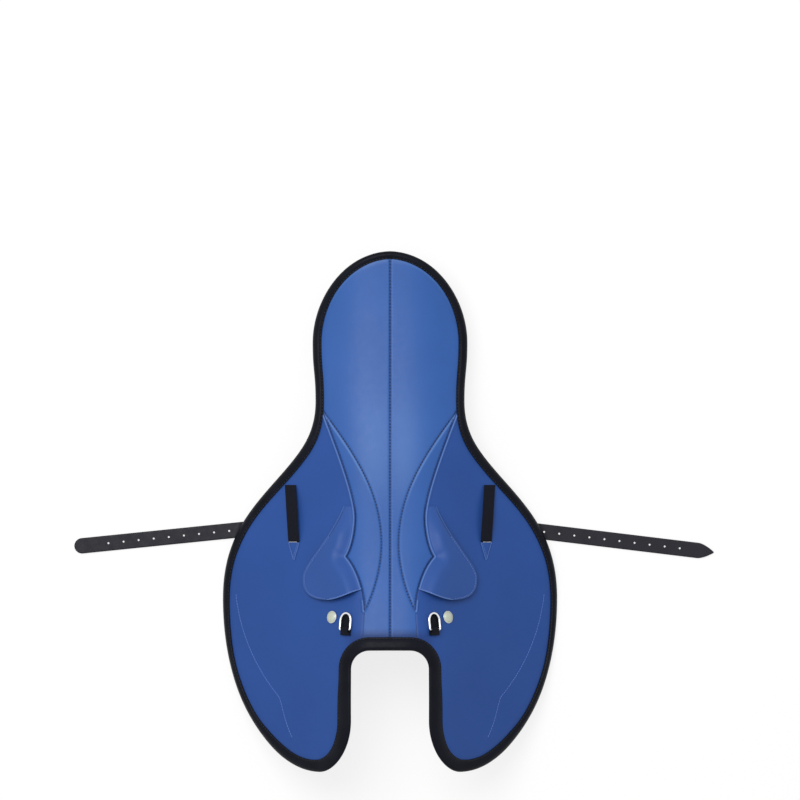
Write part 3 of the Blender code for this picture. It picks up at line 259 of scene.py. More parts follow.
rear_turn = np.sin(np.linspace(math.pi / 2.0, 0.0, 13))
tree_rows = np.concatenate([TREE_REAR - REAR_ROUNDING * (1.0 - rear_turn),
                            np.linspace(TREE_REAR - REAR_ROUNDING, TREE_HEAD, 76)[1:]])
tree_half = smooth_through([TREE_REAR - REAR_ROUNDING, 0.040, -0.020, -0.115, TREE_HEAD],
                           [0.078, 0.066, 0.074, 0.100, 0.094], tree_rows)
rounding = np.clip((tree_rows - TREE_REAR + REAR_ROUNDING) / REAR_ROUNDING, 0.0, 1.0)
tree_half = tree_half * np.sqrt(np.maximum(1.0 - 0.98 * rounding ** 2.2, 0.02))
tree_x = across(-tree_half, tree_half, [0.0, 0.0006, 0.0016, 0.003], 35)
tree_y = along_rows(tree_rows, tree_x)
from_rim = np.minimum(tree_half[:, None] - np.abs(tree_x), 0.003) / 0.003
softened = 0.0008 * (1.0 - np.sqrt(1.0 - (1.0 - from_rim) ** 2))
tree_top = top_of(tree_x, tree_y) - TREE_DEPTH
tree_shell = lay_sheet("tree_shell", tree_x, tree_y, tree_top - softened, tree_top - TREE_WALL + softened)
slot_ends = np.linspace(0.0, math.pi, 17)
slot_turn = SLOT_HALF_WIDTH * np.column_stack([np.cos(slot_ends), np.sin(slot_ends)])
slot_outline = np.vstack([(0.0, SLOT_REAR) + slot_turn, (0.0, SLOT_FRONT) - slot_turn])
bpy.ops.object.select_all(action="DESELECT")
bpy.ops.mesh.primitive_circle_add(vertices=len(slot_outline), radius=1.0, fill_type="NGON")
slot_cutter = bpy.context.object
for corner, (x, y) in zip(slot_cutter.data.vertices, slot_outline):
    corner.co = (x, y, 0.0)
bpy.ops.object.mode_set(mode="EDIT")
bpy.ops.mesh.select_all(action="SELECT")
bpy.ops.mesh.extrude_region_move(TRANSFORM_OT_translate={"value": (0.0, 0.0, 0.2)})
face_outward()


def take_out(piece, cutter):
    """Cuts the cutter's shape out of the piece and throws the cutter away."""
    hole = piece.modifiers.new("hole", "BOOLEAN")
    hole.operation = "DIFFERENCE"
    hole.object = cutter
    bpy.ops.object.select_all(action="DESELECT")
    bpy.context.view_layer.objects.active = piece
    piece.select_set(True)
    bpy.ops.object.modifier_apply(modifier="hole")
    bpy.data.objects.remove(cutter, do_unlink=True)


take_out(tree_shell, slot_cutter)
bpy.ops.object.shade_smooth_by_angle(angle=math.radians(40.0))
dress(tree_shell, nylon, "tree", "saddle", "tree")

# The head plate, the stirrup bars and their rivets: the metal that stiffens the tree's head and
# carries the stirrups. They are pressed and forged steel, zinc plated, with softened corners.
plated, tree, shader, place = new_finish("zinc_plated_steel", (0.55, 0.56, 0.58), 0.3, 1.0)
spread_tone(tree, mottle(tree, place, 220.0), (0.50, 0.51, 0.53), (0.60, 0.61, 0.62),
            shader.inputs["Base Color"])
spread_tone(tree, mottle(tree, place, 700.0), (0.24,), (0.40,), shader.inputs["Roughness"])
raise_grain(tree, shader, mottle(tree, place, 2600.0), 0.00002)


def welded_copy(node, name):
    """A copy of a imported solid, with its loose triangles welded."""
    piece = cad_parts[node].copy()
    piece.data = piece.data.copy()
    piece.parent = None
    for key in [key for key in piece.keys() if key.startswith("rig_")]:
        del piece[key]
    piece.name = name
    bpy.context.collection.objects.link(piece)
    bpy.ops.object.select_all(action="DESELECT")
    bpy.context.view_layer.objects.active = piece
    piece.select_set(True)
    bpy.ops.object.mode_set(mode="EDIT")
    bpy.ops.mesh.select_all(action="SELECT")
    bpy.ops.mesh.remove_doubles(threshold=0.00002)
    bpy.ops.object.mode_set(mode="OBJECT")
    return piece


def soften(node, name, width):
    """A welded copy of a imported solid, with its corners rounded off."""
    piece = welded_copy(node, name)
    bpy.ops.object.mode_set(mode="EDIT")
    bpy.ops.mesh.dissolve_limited(angle_limit=math.radians(1.5))
    bpy.ops.object.mode_set(mode="OBJECT")
    bevel = piece.modifiers.new("softened", "BEVEL")
    bevel.width = width
    bevel.segments = 3
    bevel.limit_method = "ANGLE"
    bevel.angle_limit = math.radians(28.0)
    bpy.ops.object.modifier_apply(modifier="softened")
    bpy.ops.object.shade_smooth_by_angle(angle=math.radians(34.0))
    return piece


dress(soften("head_plate", "head_stiffener", 0.0005), plated, "fitting_steel", "saddle", "head_plate")
for side in ("left", "right"):
    dress(soften("stirrup_bar_" + side, "bar_forging_" + side, 0.0006), plated, "fitting_steel", "saddle",
          "stirrup_bar_" + side)
    for rivet in ("bar_rivet_inner_", "bar_rivet_outer_", "head_rivet_upper_", "head_rivet_lower_"):
        dress(soften(rivet + side, rivet + "rounded_" + side, 0.0003), plated, "fitting_steel", "saddle",
              rivet + side)

# The girth web: a strip of cotton webbing over the waist of the tree, with a strap under each end.
# It is a plain weave, about one end and pick to the millimetre.
webbing_white, tree, shader, place = new_finish("natural_webbing", (0.45, 0.44, 0.40), 0.9)


def ribs(tree, place, direction, scale):
    """Even rows of thread, one after another in the direction given, from 0 to 1."""
    weave = tree.nodes.new("ShaderNodeTexWave")
    weave.bands_direction = direction
    weave.inputs["Scale"].default_value = scale
    tree.links.new(place, weave.inputs["Vector"])
    return weave.outputs["Fac"]


raise_grain(tree, shader, ribs(tree, place, "Y", 300.0), 0.0002)
WEB_DEPTH = 0.0081
WEB_THICKNESS = 0.0015
web_rows = np.linspace(0.007, -0.033, 21)
web_reach = np.full(len(web_rows), 0.100)
web_x = across(-web_reach, web_reach, [0.0, 0.0005, 0.0015], 60)
web_y = along_rows(web_rows, web_x)
web_top = top_of(web_x, web_y) - WEB_DEPTH
girth_web = lay_sheet("girth_web_strip", web_x, web_y, web_top, web_top - WEB_THICKNESS)
dress(girth_web, webbing_white, "girth_web", "saddle", "billet_web")

# The girth straps: black strap leather sewn under the web's ends, punched for the girth's
# buckles. The left one is cut round at its tip and the right one to a point, and their edges are
# rounded and dyed.
strap_leather, tree, shader, place = new_finish("waxed_strap_leather", (0.011, 0.011, 0.017), 0.42)
shader.inputs["Specular IOR Level"].default_value = 0.18
spread_tone(tree, mottle(tree, place, 45.0, 4.0), (0.009, 0.009, 0.015), (0.013, 0.013, 0.020),
            shader.inputs["Base Color"])
spread_tone(tree, mottle(tree, place, 160.0), (0.34,), (0.52,), shader.inputs["Roughness"])
raise_grain(tree, shader, pebbles(tree, place, 1300.0), 0.00006)
STRAPS = (("left", -1.0, 5.8, 0.3965, 0.010), ("right", 1.0, 6.9, 0.4065, 0.020))
STRAP_ROOT = (0.084, -0.013)
STRAP_DEPTH = 0.0144
STRAP_WIDTH = 0.0195
STRAP_THICKNESS = 0.0034
CLEAR_OF_FLAP = 0.211
HOLE_RADIUS = 0.0012
HOLE_PITCH = 0.01905
HOLE_COUNT = 11
FIRST_HOLE = 0.043
strap_offsets = np.array([1.0, 0.985, 0.95, 0.89, 0.84, 0.79, 0.76, 0.73, 0.68, 0.45, 0.2])
strap_offsets = np.concatenate([-strap_offsets, [0.0], strap_offsets[::-1]])
for side, sign, slant, reach, point in STRAPS:
    slant = math.radians(slant)
    outward = np.array([sign * math.cos(slant), -math.sin(slant)])
    rearward = np.array([sign * math.sin(slant), math.cos(slant)])
    root = np.array([sign * STRAP_ROOT[0], STRAP_ROOT[1]])
    length = (reach - STRAP_ROOT[0]) / math.cos(slant)
    tip_stops = length - point * (1.0 - np.sin(np.radians(np.linspace(0.0, 88.0, 19)[1:])))
    stops = np.concatenate([np.linspace(0.0, length - point, 191), tip_stops])
    taper = np.clip((stops - length + point) / point, 0.0, 1.0)
    cut_round = np.sqrt(np.maximum(1.0 - taper ** 2, 0.0015))
    cut_pointed = 1.0 - 0.93 * taper ** 1.6
    half = 0.5 * STRAP_WIDTH * (cut_pointed if side == "right" else cut_round)
    plan = root + stops[:, None, None] * outward + (half[:, None] * strap_offsets)[..., None] * rearward
    x, y = plan[..., 0], plan[..., 1]
    hang = top_of(x, y) - STRAP_DEPTH
    hang = np.where(np.abs(x) > CLEAR_OF_FLAP, 0.0, 0.5 * (hang + np.sqrt(hang ** 2 + 0.0010 ** 2)))
    under = 0.0002 + hang + 0.0003 * (1.0 - np.exp(-hang / 0.004))
    from_edge = np.minimum((1.0 - np.abs(strap_offsets)) * half[:, None], (length - stops)[:, None])
    edge_turn = 1.0 - np.minimum(from_edge / 0.0012, 1.0)
    rounded = 0.45 * STRAP_THICKNESS * (1.0 - np.sqrt(1.0 - edge_turn ** 2))
    strap = lay_sheet("girth_strap_" + side, x, y, under + STRAP_THICKNESS - rounded, under + rounded)
    bpy.ops.object.select_all(action="DESELECT")
    punches = []
    for number in range(HOLE_COUNT):
        spot = root + outward * (length - FIRST_HOLE - number * HOLE_PITCH)
        bpy.ops.mesh.primitive_cylinder_add(vertices=20, radius=HOLE_RADIUS, depth=0.08,
                                            location=(*spot, 0.03))
        punches.append(bpy.context.object)
    bpy.ops.object.select_all(action="DESELECT")
    for punch in punches:
        punch.select_set(True)
    bpy.context.view_layer.objects.active = punches[0]
    bpy.ops.object.join()
    take_out(strap, punches[0])
    bpy.ops.object.shade_smooth_by_angle(angle=math.radians(40.0))
    dress(strap, strap_leather, "strap_leather", side + "_billet", "billet_" + side)

# The panel pads: two long cushions on both sides of the spine, which rest on the horse's back.
# They are serge covers stuffed with flock, so they swell between their seams and lie flat where
# they bear.
serge, tree, shader, place = new_finish("panel_serge", (0.024, 0.024, 0.028), 0.9)
shader.inputs["Sheen Weight"].default_value = 0.25
spread_tone(tree, mottle(tree, place, 90.0, 4.0), (0.016, 0.016, 0.020), (0.036, 0.036, 0.042),
            shader.inputs["Base Color"])
raise_grain(tree, shader, mottle(tree, place, 1800.0, 3.0), 0.00025)
PAD_DEPTH = 0.0152
PAD_TAKEN_IN = 0.0015
PAD_SWELL = 0.0045
STUFFING_STEPS = 20
for side in ("left", "right"):
    pad = welded_copy("panel_pad_" + side, "stuffed_pad_" + side)
    taken_in = pad.modifiers.new("taken_in", "DISPLACE")
    taken_in.strength = -PAD_TAKEN_IN
    taken_in.mid_level = 0.0
    bpy.ops.object.modifier_apply(modifier="taken_in")
    even = pad.modifiers.new("even", "REMESH")
    even.mode = "VOXEL"
    even.voxel_size = 0.0045
    bpy.ops.object.modifier_apply(modifier="even")
    slack = np.array([tuple(corner.co) for corner in pad.data.vertices])
    stuffing = pad.modifiers.new("stuffing", "CLOTH")
    stuffing.settings.use_pressure = True
    stuffing.settings.uniform_pressure_force = 4.0
    stuffing.settings.effector_weights.gravity = 0.0
    for step in range(1, STUFFING_STEPS + 1):
        bpy.context.scene.frame_set(step)
    bpy.ops.object.modifier_apply(modifier="stuffing")
    bpy.context.scene.frame_set(1)
    stuffed = np.array([tuple(corner.co) for corner in pad.data.vertices])
    swell = stuffed - slack
    distance = np.linalg.norm(swell, axis=1, keepdims=True)
    stuffed = slack + swell * np.minimum(1.0, PAD_SWELL / np.maximum(distance, 1e-9))
    under_tree = top_of(stuffed[:, 0], stuffed[:, 1]) - PAD_DEPTH
    stuffed[:, 2] = np.clip(stuffed[:, 2], 0.0, under_tree)
    pad.data.vertices.foreach_set("co", stuffed.ravel())
    pad.data.update()
    finer = pad.modifiers.new("finer", "SUBSURF")
    finer.levels = 1
    finer.render_levels = 1
    bpy.ops.object.modifier_apply(modifier="finer")
    bpy.ops.object.shade_smooth()
    dress(pad, serge, "lining", "saddle", "panel_pad_" + side)

# The foam: closed-cell sheet glued over the tree, in one piece under the seat and a thinner one
# under each flap. It is cut out with a knife, with a window where each stirrup bar comes through.
foam_grey, tree, shader, place = new_finish("closed_cell_foam", (0.20, 0.20, 0.21), 0.85)
foam_cells = pebbles(tree, place, 650.0)
spread_tone(tree, foam_cells, (0.15, 0.15, 0.16), (0.25, 0.25, 0.26), shader.inputs["Base Color"], 0.1, 0.6)
raise_grain(tree, shader, foam_cells, 0.0003)
LEAF_INNER_SEAM = chain(curve((0.084, 0.126), (0.0396, 0.0661), (0.0108, 0.022), (0.0108, -0.040), 61),
                        curve((0.0108, -0.040), (0.0108, -0.069), (0.0201, -0.1009), (0.0313, -0.1219), 41))
LEAF_OUTER_SEAM = chain(curve((0.084, 0.126), (0.0656, 0.0766), (0.0434, 0.0216), (0.0434, -0.008), 61),
                        curve((0.0434, -0.008), (0.0434, -0.0231), (0.0477, -0.0457), (0.0546, -0.0556), 25),
                        curve((0.0546, -0.0556), (0.0413, -0.0700), (0.0325, -0.0965), (0.0313, -0.1219), 33))
TOE_EDGE = curve((0.088, -0.3245), (0.068965, -0.3245), (0.0475, -0.29568), (0.0475, -0.259), 41)
NOTCH_SIDE = np.column_stack([np.full(33, 0.0475), np.linspace(-0.259, -0.195, 33)])
notch_turn = np.linspace(0.0, math.pi / 2.0, 25)
NOTCH_CORNER = np.array([0.0255, -0.195]) + 0.022 * np.column_stack([np.cos(notch_turn), np.sin(notch_turn)])
POMMEL_EDGE = np.column_stack([np.linspace(0.0255, 0.0, 13), np.full(13, -0.173)])
INNER_CUT = moved_in(chain(TOE_EDGE, NOTCH_SIDE, NOTCH_CORNER), BINDING_REACH)
SIDES = (("left", -1.0), ("right", 1.0))
SEAM_GAP = 0.0002
SEAM_END = 0.134
FLAP_REAR = 0.132
CANTLE_CUT = 0.3217
POMMEL_CUT = -0.1706
TOE_CUT = -0.3217
FRONT_JOINT = 0.0343
SEAM_MOUTH = np.array([[float(crossing(OUTER_CUT, SEAM_END)), SEAM_END]])
PANEL_FRONT = np.array([[FRONT_JOINT, POMMEL_CUT]])
CORNER_CUT = INNER_CUT[INNER_CUT[:, 0] > FRONT_JOINT]
FLAP_INNER = np.vstack([SEAM_MOUTH, LEAF_OUTER_SEAM, [[FRONT_JOINT, CORNER_CUT[-1, 1]]], CORNER_CUT[::-1]])
SEAT_REAR = OUTER_CUT[OUTER_CUT[:, 1] > SEAM_END]
WINDOW_MIDDLE = (0.072, -0.0645)
WINDOW_SIZE = (0.022, 0.063)
WINDOW_CORNER = 0.0095
FOAM_LAP = 0.0015
SEAT_FOAM_DEPTHS = (0.0024, 0.0076)
FLAP_FOAM_DEPTHS = (0.0021, 0.0059)
CUT_STEPS = [0.0, 0.0005, 0.0015, 0.003]


def rows_along(*marks):
    """Places along the saddle from mark to mark, each mark with its spacing up to the next one."""
    places = []
    for (here, spacing), (there, _) in zip(marks[:-1], marks[1:]):
        places.append(np.linspace(here, there, max(2, round((here - there) / spacing) + 1))[:-1])
    return np.append(np.concatenate(places), marks[-1][0])


def cut_window(piece, sign):
    """Cuts the window over a stirrup bar, with rounded corners."""
    bpy.ops.object.select_all(action="DESELECT")
    bpy.ops.mesh.primitive_cube_add(size=1.0, location=(sign * WINDOW_MIDDLE[0], WINDOW_MIDDLE[1], 0.15),
                                    scale=(*WINDOW_SIZE, 0.3))
    window = bpy.context.object
    bpy.ops.object.transform_apply(location=True, rotation=True, scale=True)
    bpy.ops.object.mode_set(mode="EDIT")
    bpy.ops.mesh.select_mode(type="EDGE")
    bpy.ops.mesh.select_all(action="DESELECT")
    outline = bmesh.from_edit_mesh(window.data)
    for edge in outline.edges:
        if abs(edge.verts[0].co.z - edge.verts[1].co.z) > 0.1:
            edge.select_set(True)
    bmesh.update_edit_mesh(window.data)
    bpy.ops.mesh.bevel(offset=WINDOW_CORNER, segments=8, affect="EDGES")
    bpy.ops.object.mode_set(mode="OBJECT")
    take_out(piece, window)
    bpy.ops.object.shade_smooth_by_angle(angle=math.radians(50.0))


def foam_joint(rows):
    """How far the joint of the foam lies outside the leather's seam, so that no gap runs through."""
    return FOAM_LAP * np.clip((FLAP_REAR - rows) / 0.006, 0.0, 1.0)


def flap_plan(rows, edge_steps, middle_count, sign, lap=0.0):
    """Places over one flap, from its inner seam or edge to its outer edge."""
    inner = crossing(FLAP_INNER, rows) + np.where(rows > POMMEL_CUT, 0.5 * SEAM_GAP + lap, 0.0)
    x = sign * across(inner, crossing(OUTER_CUT, rows), edge_steps, middle_count)
    return x, along_rows(rows, x)


def lay_under(name, x, y, depths):
    """A layer under the leather, its two faces at the depths given."""
    level = top_of(x, y)
    return lay_sheet(name, x, y, level - depths[0], level - depths[1])


def lay_under_flap(name, sign, depths):
    """A layer under one flap's leather, with its window cut out."""
    x, y = flap_plan(flap_rows, CUT_STEPS, 40, sign, foam_joint(flap_rows))
    layer = lay_under(name, x, y, depths)
    cut_window(layer, sign)
    return layer


foam_rows = rows_along((CANTLE_CUT, 0.001), (0.317, 0.004), (POMMEL_CUT, 0.0))
foam_reach = crossing(np.vstack([SEAT_REAR, SEAM_MOUTH, LEAF_OUTER_SEAM, PANEL_FRONT]), foam_rows)
foam_reach = foam_reach - 0.5 * SEAM_GAP + foam_joint(foam_rows)
foam_x = across(-foam_reach, foam_reach, CUT_STEPS, 44)
seat_foam = lay_under("seat_foam_sheet", foam_x, along_rows(foam_rows, foam_x), SEAT_FOAM_DEPTHS)
dress(seat_foam, foam_grey, "foam", "saddle", "seat_foam")
flap_rows = rows_along((FLAP_REAR, 0.003), (-0.168, 0.0008), (-0.180, 0.003), (-0.315, 0.001), (TOE_CUT, 0.0))
for side, sign in SIDES:
    flap_foam = lay_under_flap("flap_foam_sheet_" + side, sign, FLAP_FOAM_DEPTHS)
    dress(flap_foam, foam_grey, "foam", "saddle", "flap_foam_" + side)

# The flap linings: black needle felt glued under the foam, the side that lies on the horse.
# It has a matted nap with a faint lay, and the same window as the foam.
felt, tree, shader, place = new_finish("needle_felt", (0.020, 0.020, 0.023), 0.95)
shader.inputs["Sheen Weight"].default_value = 0.35
spread_tone(tree, mottle(tree, place, 500.0, 4.0), (0.012, 0.012, 0.014), (0.034, 0.034, 0.038),
            shader.inputs["Base Color"])
raise_grain(tree, shader, mottle(tree, place, 1500.0, 4.0), 0.0004)
LINING_DEPTHS = (0.0064, 0.0076)
for side, sign in SIDES:
    lining = lay_under_flap("felt_lining_" + side, sign, LINING_DEPTHS)
    dress(lining, felt, "lining", "saddle", "flap_lining_" + side)

# The seat: two panels of blue leather, sewn together down the ridge and pulled over the foam to
# the edge. The seam is turned in, so it lies in a groove with its stitches, and small puckers
# run out from them.
EDGE_STEPS = [0.0, 0.0005, 0.0010, 0.0016, 0.0023, 0.0031, 0.0041, 0.0056, 0.0080]
EDGE_PATH = chain(CANTLE_EDGE, WAIST_EDGE, FLARE_EDGE, FRONT_EDGE, TOE_EDGE, NOTCH_SIDE, NOTCH_CORNER,
                  POMMEL_EDGE)
# The width of the binding in millimetres, at numbered points of the edge from the cantle to the pommel.
WIDTH_STATIONS = [(0, 8.8), (12, 10.0), (36, 10.0), (61, 10.3), (78, 9.8), (90, 10.8), (102, 9.5), (114, 8.8),
                  (126, 8.0), (138, 7.3), (150, 6.0), (166, 5.0), (182, 4.4), (190, 5.3), (198, 6.7),
                  (206, 8.4), (214, 11.0), (222, 12.6), (238, 13.7), (246, 14.6), (254, 16.4), (272, 16.4),
                  (284, 17.6), (303, 17.8), (321, 16.4), (330, 16.5), (339, 17.3), (360, 17.8)]
EDGE_POINTS = np.arange(len(EDGE_PATH))
EDGE_WIDTH = 0.001 * smooth_through(*np.array(WIDTH_STATIONS).T, EDGE_POINTS)
LEATHER_THICKNESS = 0.0016
STITCH_PITCH = 0.0041
STITCH_INSET = 0.0015
PRESS_SPREAD = 0.0035


def from_line(x, y, line):
    """Distance on the plan from each place to a line, and how many of its points are passed there."""
    nearest = np.full(x.shape, np.inf)
    passed = np.zeros(x.shape)
    for number, (start, run) in enumerate(zip(line[:-1], np.diff(line, axis=0))):
        share = np.clip(((x - start[0]) * run[0] + (y - start[1]) * run[1]) / (run @ run), 0.0, 1.0)
        distance = np.hypot(x - start[0] - share * run[0], y - start[1] - share * run[1])
        passed = np.where(distance < nearest, number + share, passed)
        nearest = np.minimum(distance, nearest)
    return nearest, passed


def hill(distance, width):
    """A rounded rise from 0 to 1 and back."""
    return np.exp(-(distance / width) ** 2)


def past_binding(x, y):
    """How far each place lies inside the binding's inner edge."""
    distance, passed = from_line(x, y, EDGE_PATH)
    return distance - np.interp(passed, EDGE_POINTS, EDGE_WIDTH)


def toward_rear(y):
    """From 0 at the front of the leaves to 1 at their rear."""
    return np.clip((y - 0.005) / 0.045, 0.0, 1.0)


def mark_leather(piece, shade_amount, painted_highlight):
    """Stores the painted shade and the painted highlight on the leather, from 0 to 1, for its colour."""
    for name, share in (("painted_shade", shade_amount), ("painted_highlight", painted_highlight)):
        stored = piece.data.attributes.new(name, "FLOAT", "POINT")
        stored.data.foreach_set("value", np.tile(np.clip(share, 0.0, 1.0).ravel(), 2).astype(np.float32))


def lean(surface, x, y, step):
    """The surface's slope across the saddle at a place, and the direction square to it there."""
    slope_x = float(surface(x + step, y) - surface(x - step, y)) / (2.0 * step)
    slope_y = float(surface(x, y + step) - surface(x, y - step)) / (2.0 * step)
    return slope_x, Vector((-slope_x, -slope_y, 1.0)).normalized()


def sew(name, line, thread, slot, body, sign=1.0, pitch=STITCH_PITCH, size=(0.0022, 0.0010, 0.0008),
        lift=0.0, surface=top_of):
    """A row of stitches along a line on the plan, each lying along the surface."""
    line = np.asarray(line) * (sign, 1.0)
    height = surface(line[:, 0], line[:, 1])
    route = np.column_stack([line, height])
    lengths = np.concatenate([[0.0], np.cumsum(np.linalg.norm(np.diff(route, axis=0), axis=1))])
    stops = np.linspace(0.0, lengths[-1], max(2, round(lengths[-1] / pitch) + 1))
    stops = 0.5 * (stops[1:] + stops[:-1])
    bpy.ops.object.select_all(action="DESELECT")
    bpy.ops.mesh.primitive_uv_sphere_add(segments=6, ring_count=4, radius=0.5)
    first = just_added(name)
    step = 0.0003
    for number, stop in enumerate(stops):
        at = [np.interp(stop, lengths, axis) for axis in route.T]
        ahead = [np.interp(stop + step, lengths, axis) for axis in route.T]
        behind = [np.interp(stop - step, lengths, axis) for axis in route.T]
        upward = lean(surface, at[0], at[1], step)[1]
        forward = (Vector(ahead) - Vector(behind)).normalized()
        sideways = upward.cross(forward).normalized()
        turned = Matrix((forward * size[0], sideways * size[1], upward * size[2])).transposed().to_4x4()
        turned.translation = Vector(at) + upward * lift
        stitch = first if number == 0 else first.copy()
        if number:
            stitch.data = first.data.copy()
            bpy.context.collection.objects.link(stitch)
        stitch.matrix_world = turned
        stitch.select_set(True)
    bpy.context.view_layer.objects.active = first
    bpy.ops.object.join()
    bpy.ops.object.transform_apply(location=True, rotation=True, scale=True)
    bpy.ops.object.shade_smooth()
    return dress(first, thread, slot, body)


def dyed_thread(name, colour, sheen):
    """Twisted thread in one dye, with the twist as a fine relief."""
    thread, tree, shader, place = new_finish(name, colour, 0.6)
    shader.inputs["Sheen Weight"].default_value = sheen
    lighter = tuple(1.35 * tone for tone in colour)
    spread_tone(tree, mottle(tree, place, 900.0), colour, lighter, shader.inputs["Base Color"])
    raise_grain(tree, shader, mottle(tree, place, 3200.0), 0.00008)
    return thread


# These stitches stand for tonal blue thread; their dark navy paints the shade in the stitch holes and
# grooves.
navy_thread_hole_shade = dyed_thread("navy_thread_hole_shade", (0.004, 0.008, 0.045), 0.1)
blue_thread = dyed_thread("sky_blue_thread", (0.12, 0.22, 0.62), 0.2)
black_thread = dyed_thread("black_thread", (0.006, 0.006, 0.008), 0.1)


def blue_leather(name, colour, deep, pale, gloss):
    """Dyed and plated hide: clouded dye and soft grain, with painted shade in its seams and hollows and a
    painted highlight on its ridges and edges.
    """
    leather, tree, shader, place = new_finish(name, colour, 0.46)
    shader.inputs["Specular IOR Level"].default_value = gloss
    darker = tuple(0.96 * tone for tone in colour)
    lighter = tuple(1.04 * tone for tone in colour)
    tone = None
    # The first mix paints shade toward the deep tone, the second paints highlight toward the pale one.
    for mark, other in (("painted_shade", deep), ("painted_highlight", pale)):
        marked = tree.nodes.new("ShaderNodeAttribute")
        marked.attribute_name = mark
        dye = tree.nodes.new("ShaderNodeMix")
        dye.data_type = "RGBA"
        dye.inputs[7].default_value = (*other, 1.0)
        tree.links.new(marked.outputs["Fac"], dye.inputs[0])
        if tone is None:
            spread_tone(tree, mottle(tree, place, 14.0, 4.0), darker, lighter, dye.inputs[6])
        else:
            tree.links.new(tone, dye.inputs[6])
        tone = dye.outputs[2]
    tree.links.new(tone, shader.inputs["Base Color"])
    spread_tone(tree, mottle(tree, place, 130.0, 3.0), (0.45,), (0.51,), shader.inputs["Roughness"])
    raise_grain(tree, shader, pebbles(tree, place, 950.0), 0.00006)
    raise_grain(tree, shader, mottle(tree, place, 240.0, 4.0), 0.00006)
    return leather


seat_blue = blue_leather("blue_seat_leather", (0.029, 0.108, 0.378), deep=(0.004, 0.012, 0.075),
                         pale=(0.16, 0.31, 0.65), gloss=0.32)
seat_rows = rows_along((CANTLE_CUT, 0.0006), (0.3165, 0.0013), (POMMEL_CUT, 0.0))
seat_reach = crossing(np.vstack([SEAT_REAR, SEAM_MOUTH, LEAF_INNER_SEAM, PANEL_FRONT]), seat_rows)
seat_x = across(np.full(len(seat_rows), 0.5 * SEAM_GAP), seat_reach - 0.5 * SEAM_GAP, EDGE_STEPS, 44)
seat_y = along_rows(seat_rows, seat_x)
seat_inside = past_binding(seat_x, seat_y)
leaf_side = hill(from_line(seat_x, seat_y, LEAF_INNER_SEAM)[0], 0.0015)
turned_in = hill(seat_x, 0.0016)
puckered = np.cos(2.0 * math.pi * seat_y / STITCH_PITCH) * hill(seat_x - 0.0012, 0.0030)
pressed = hill(seat_inside + STITCH_INSET, PRESS_SPREAD)
seat_level = top_of(seat_x, seat_y)
seat_top = seat_level - 0.0014 * turned_in - 0.0012 * leaf_side - 0.0011 * pressed - 0.0002 * puckered
drawn_down = np.maximum(np.maximum(turned_in, leaf_side), pressed)
seat_under = seat_level - LEATHER_THICKNESS - 0.0004 * drawn_down
# Painted shade: darker where the seat rolls down into the binding at the pommel, in the centre seam's groove
# and along the leaves' inner seams, more so toward the rear. Painted highlight: a pale band just inside the
# binding at the cantle, a broad sheen left of the ridge in the seat's middle, and a thin line along the
# centre seam's shoulders.
seat_roll_painted_shade = 0.62 * np.clip((-0.1440 - seat_y) / 0.009, 0.0, 1.0)
leaf_shade = (0.10 + 0.45 * toward_rear(seat_y)) * hill(leaf_side - 1.0, 0.30)
seat_painted_shade = np.maximum(np.maximum(0.45 * hill(seat_x, 0.0008), leaf_shade), seat_roll_painted_shade)
rear_rim_painted_highlight = 0.22 * hill(seat_inside - 0.0010, 0.0014) * np.clip((seat_y - 0.24) / 0.05, 0.0, 1.0)
seat_painted_sheen = 0.23 * hill(seat_x - 0.018, 0.026) * hill(seat_y - 0.080, 0.062)
seat_painted_highlight = np.maximum(np.maximum(rear_rim_painted_highlight, seat_painted_sheen), 0.12 * hill(seat_x - 0.0026, 0.0009))
for side, sign in SIDES:
    seat_panel = lay_sheet("seat_panel_" + side, sign * seat_x, seat_y, seat_top, seat_under)
    mark_leather(seat_panel, seat_painted_shade, seat_painted_highlight)
    dress(seat_panel, seat_blue, "seat_leather", "saddle", "seat_cover_" + side)
centre_line = np.column_stack([np.zeros(200), np.linspace(0.3150, -0.1590, 200)])
sew("centre_seam_stitches", centre_line, navy_thread_hole_shade, "seat_leather", "saddle", size=(0.0024, 0.0020, 0.0012),
    lift=-0.0007)
for side, sign in SIDES:
    sew("inner_leaf_stitches_" + side, LEAF_INNER_SEAM[4:-2], navy_thread_hole_shade, "seat_leather", "saddle", sign,
        size=(0.0021, 0.0018, 0.0012), lift=-0.0006)

# The waist leaves: narrow leather leaves let in between the seat and the flaps, sewn along both
# sides. Their seams meet in a point at the rear and in another in front.
leaf_rows = rows_along((0.1248, 0.0011), (-0.1210, 0.0))
leaf_x = across(crossing(LEAF_INNER_SEAM, leaf_rows) + 0.5 * SEAM_GAP,
                crossing(LEAF_OUTER_SEAM, leaf_rows) - 0.5 * SEAM_GAP, EDGE_STEPS, 22)
leaf_y = along_rows(leaf_rows, leaf_x)
from_inner_seam = from_line(leaf_x, leaf_y, LEAF_INNER_SEAM)[0]
inner_side = hill(from_inner_seam, 0.0015)
outer_side = hill(from_line(leaf_x, leaf_y, LEAF_OUTER_SEAM)[0], 0.0017)
leaf_level = top_of(leaf_x, leaf_y)
leaf_top = leaf_level - 0.0012 * inner_side - 0.0012 * outer_side
leaf_under = leaf_level - LEATHER_THICKNESS - 0.0004 * np.maximum(inner_side, outer_side)
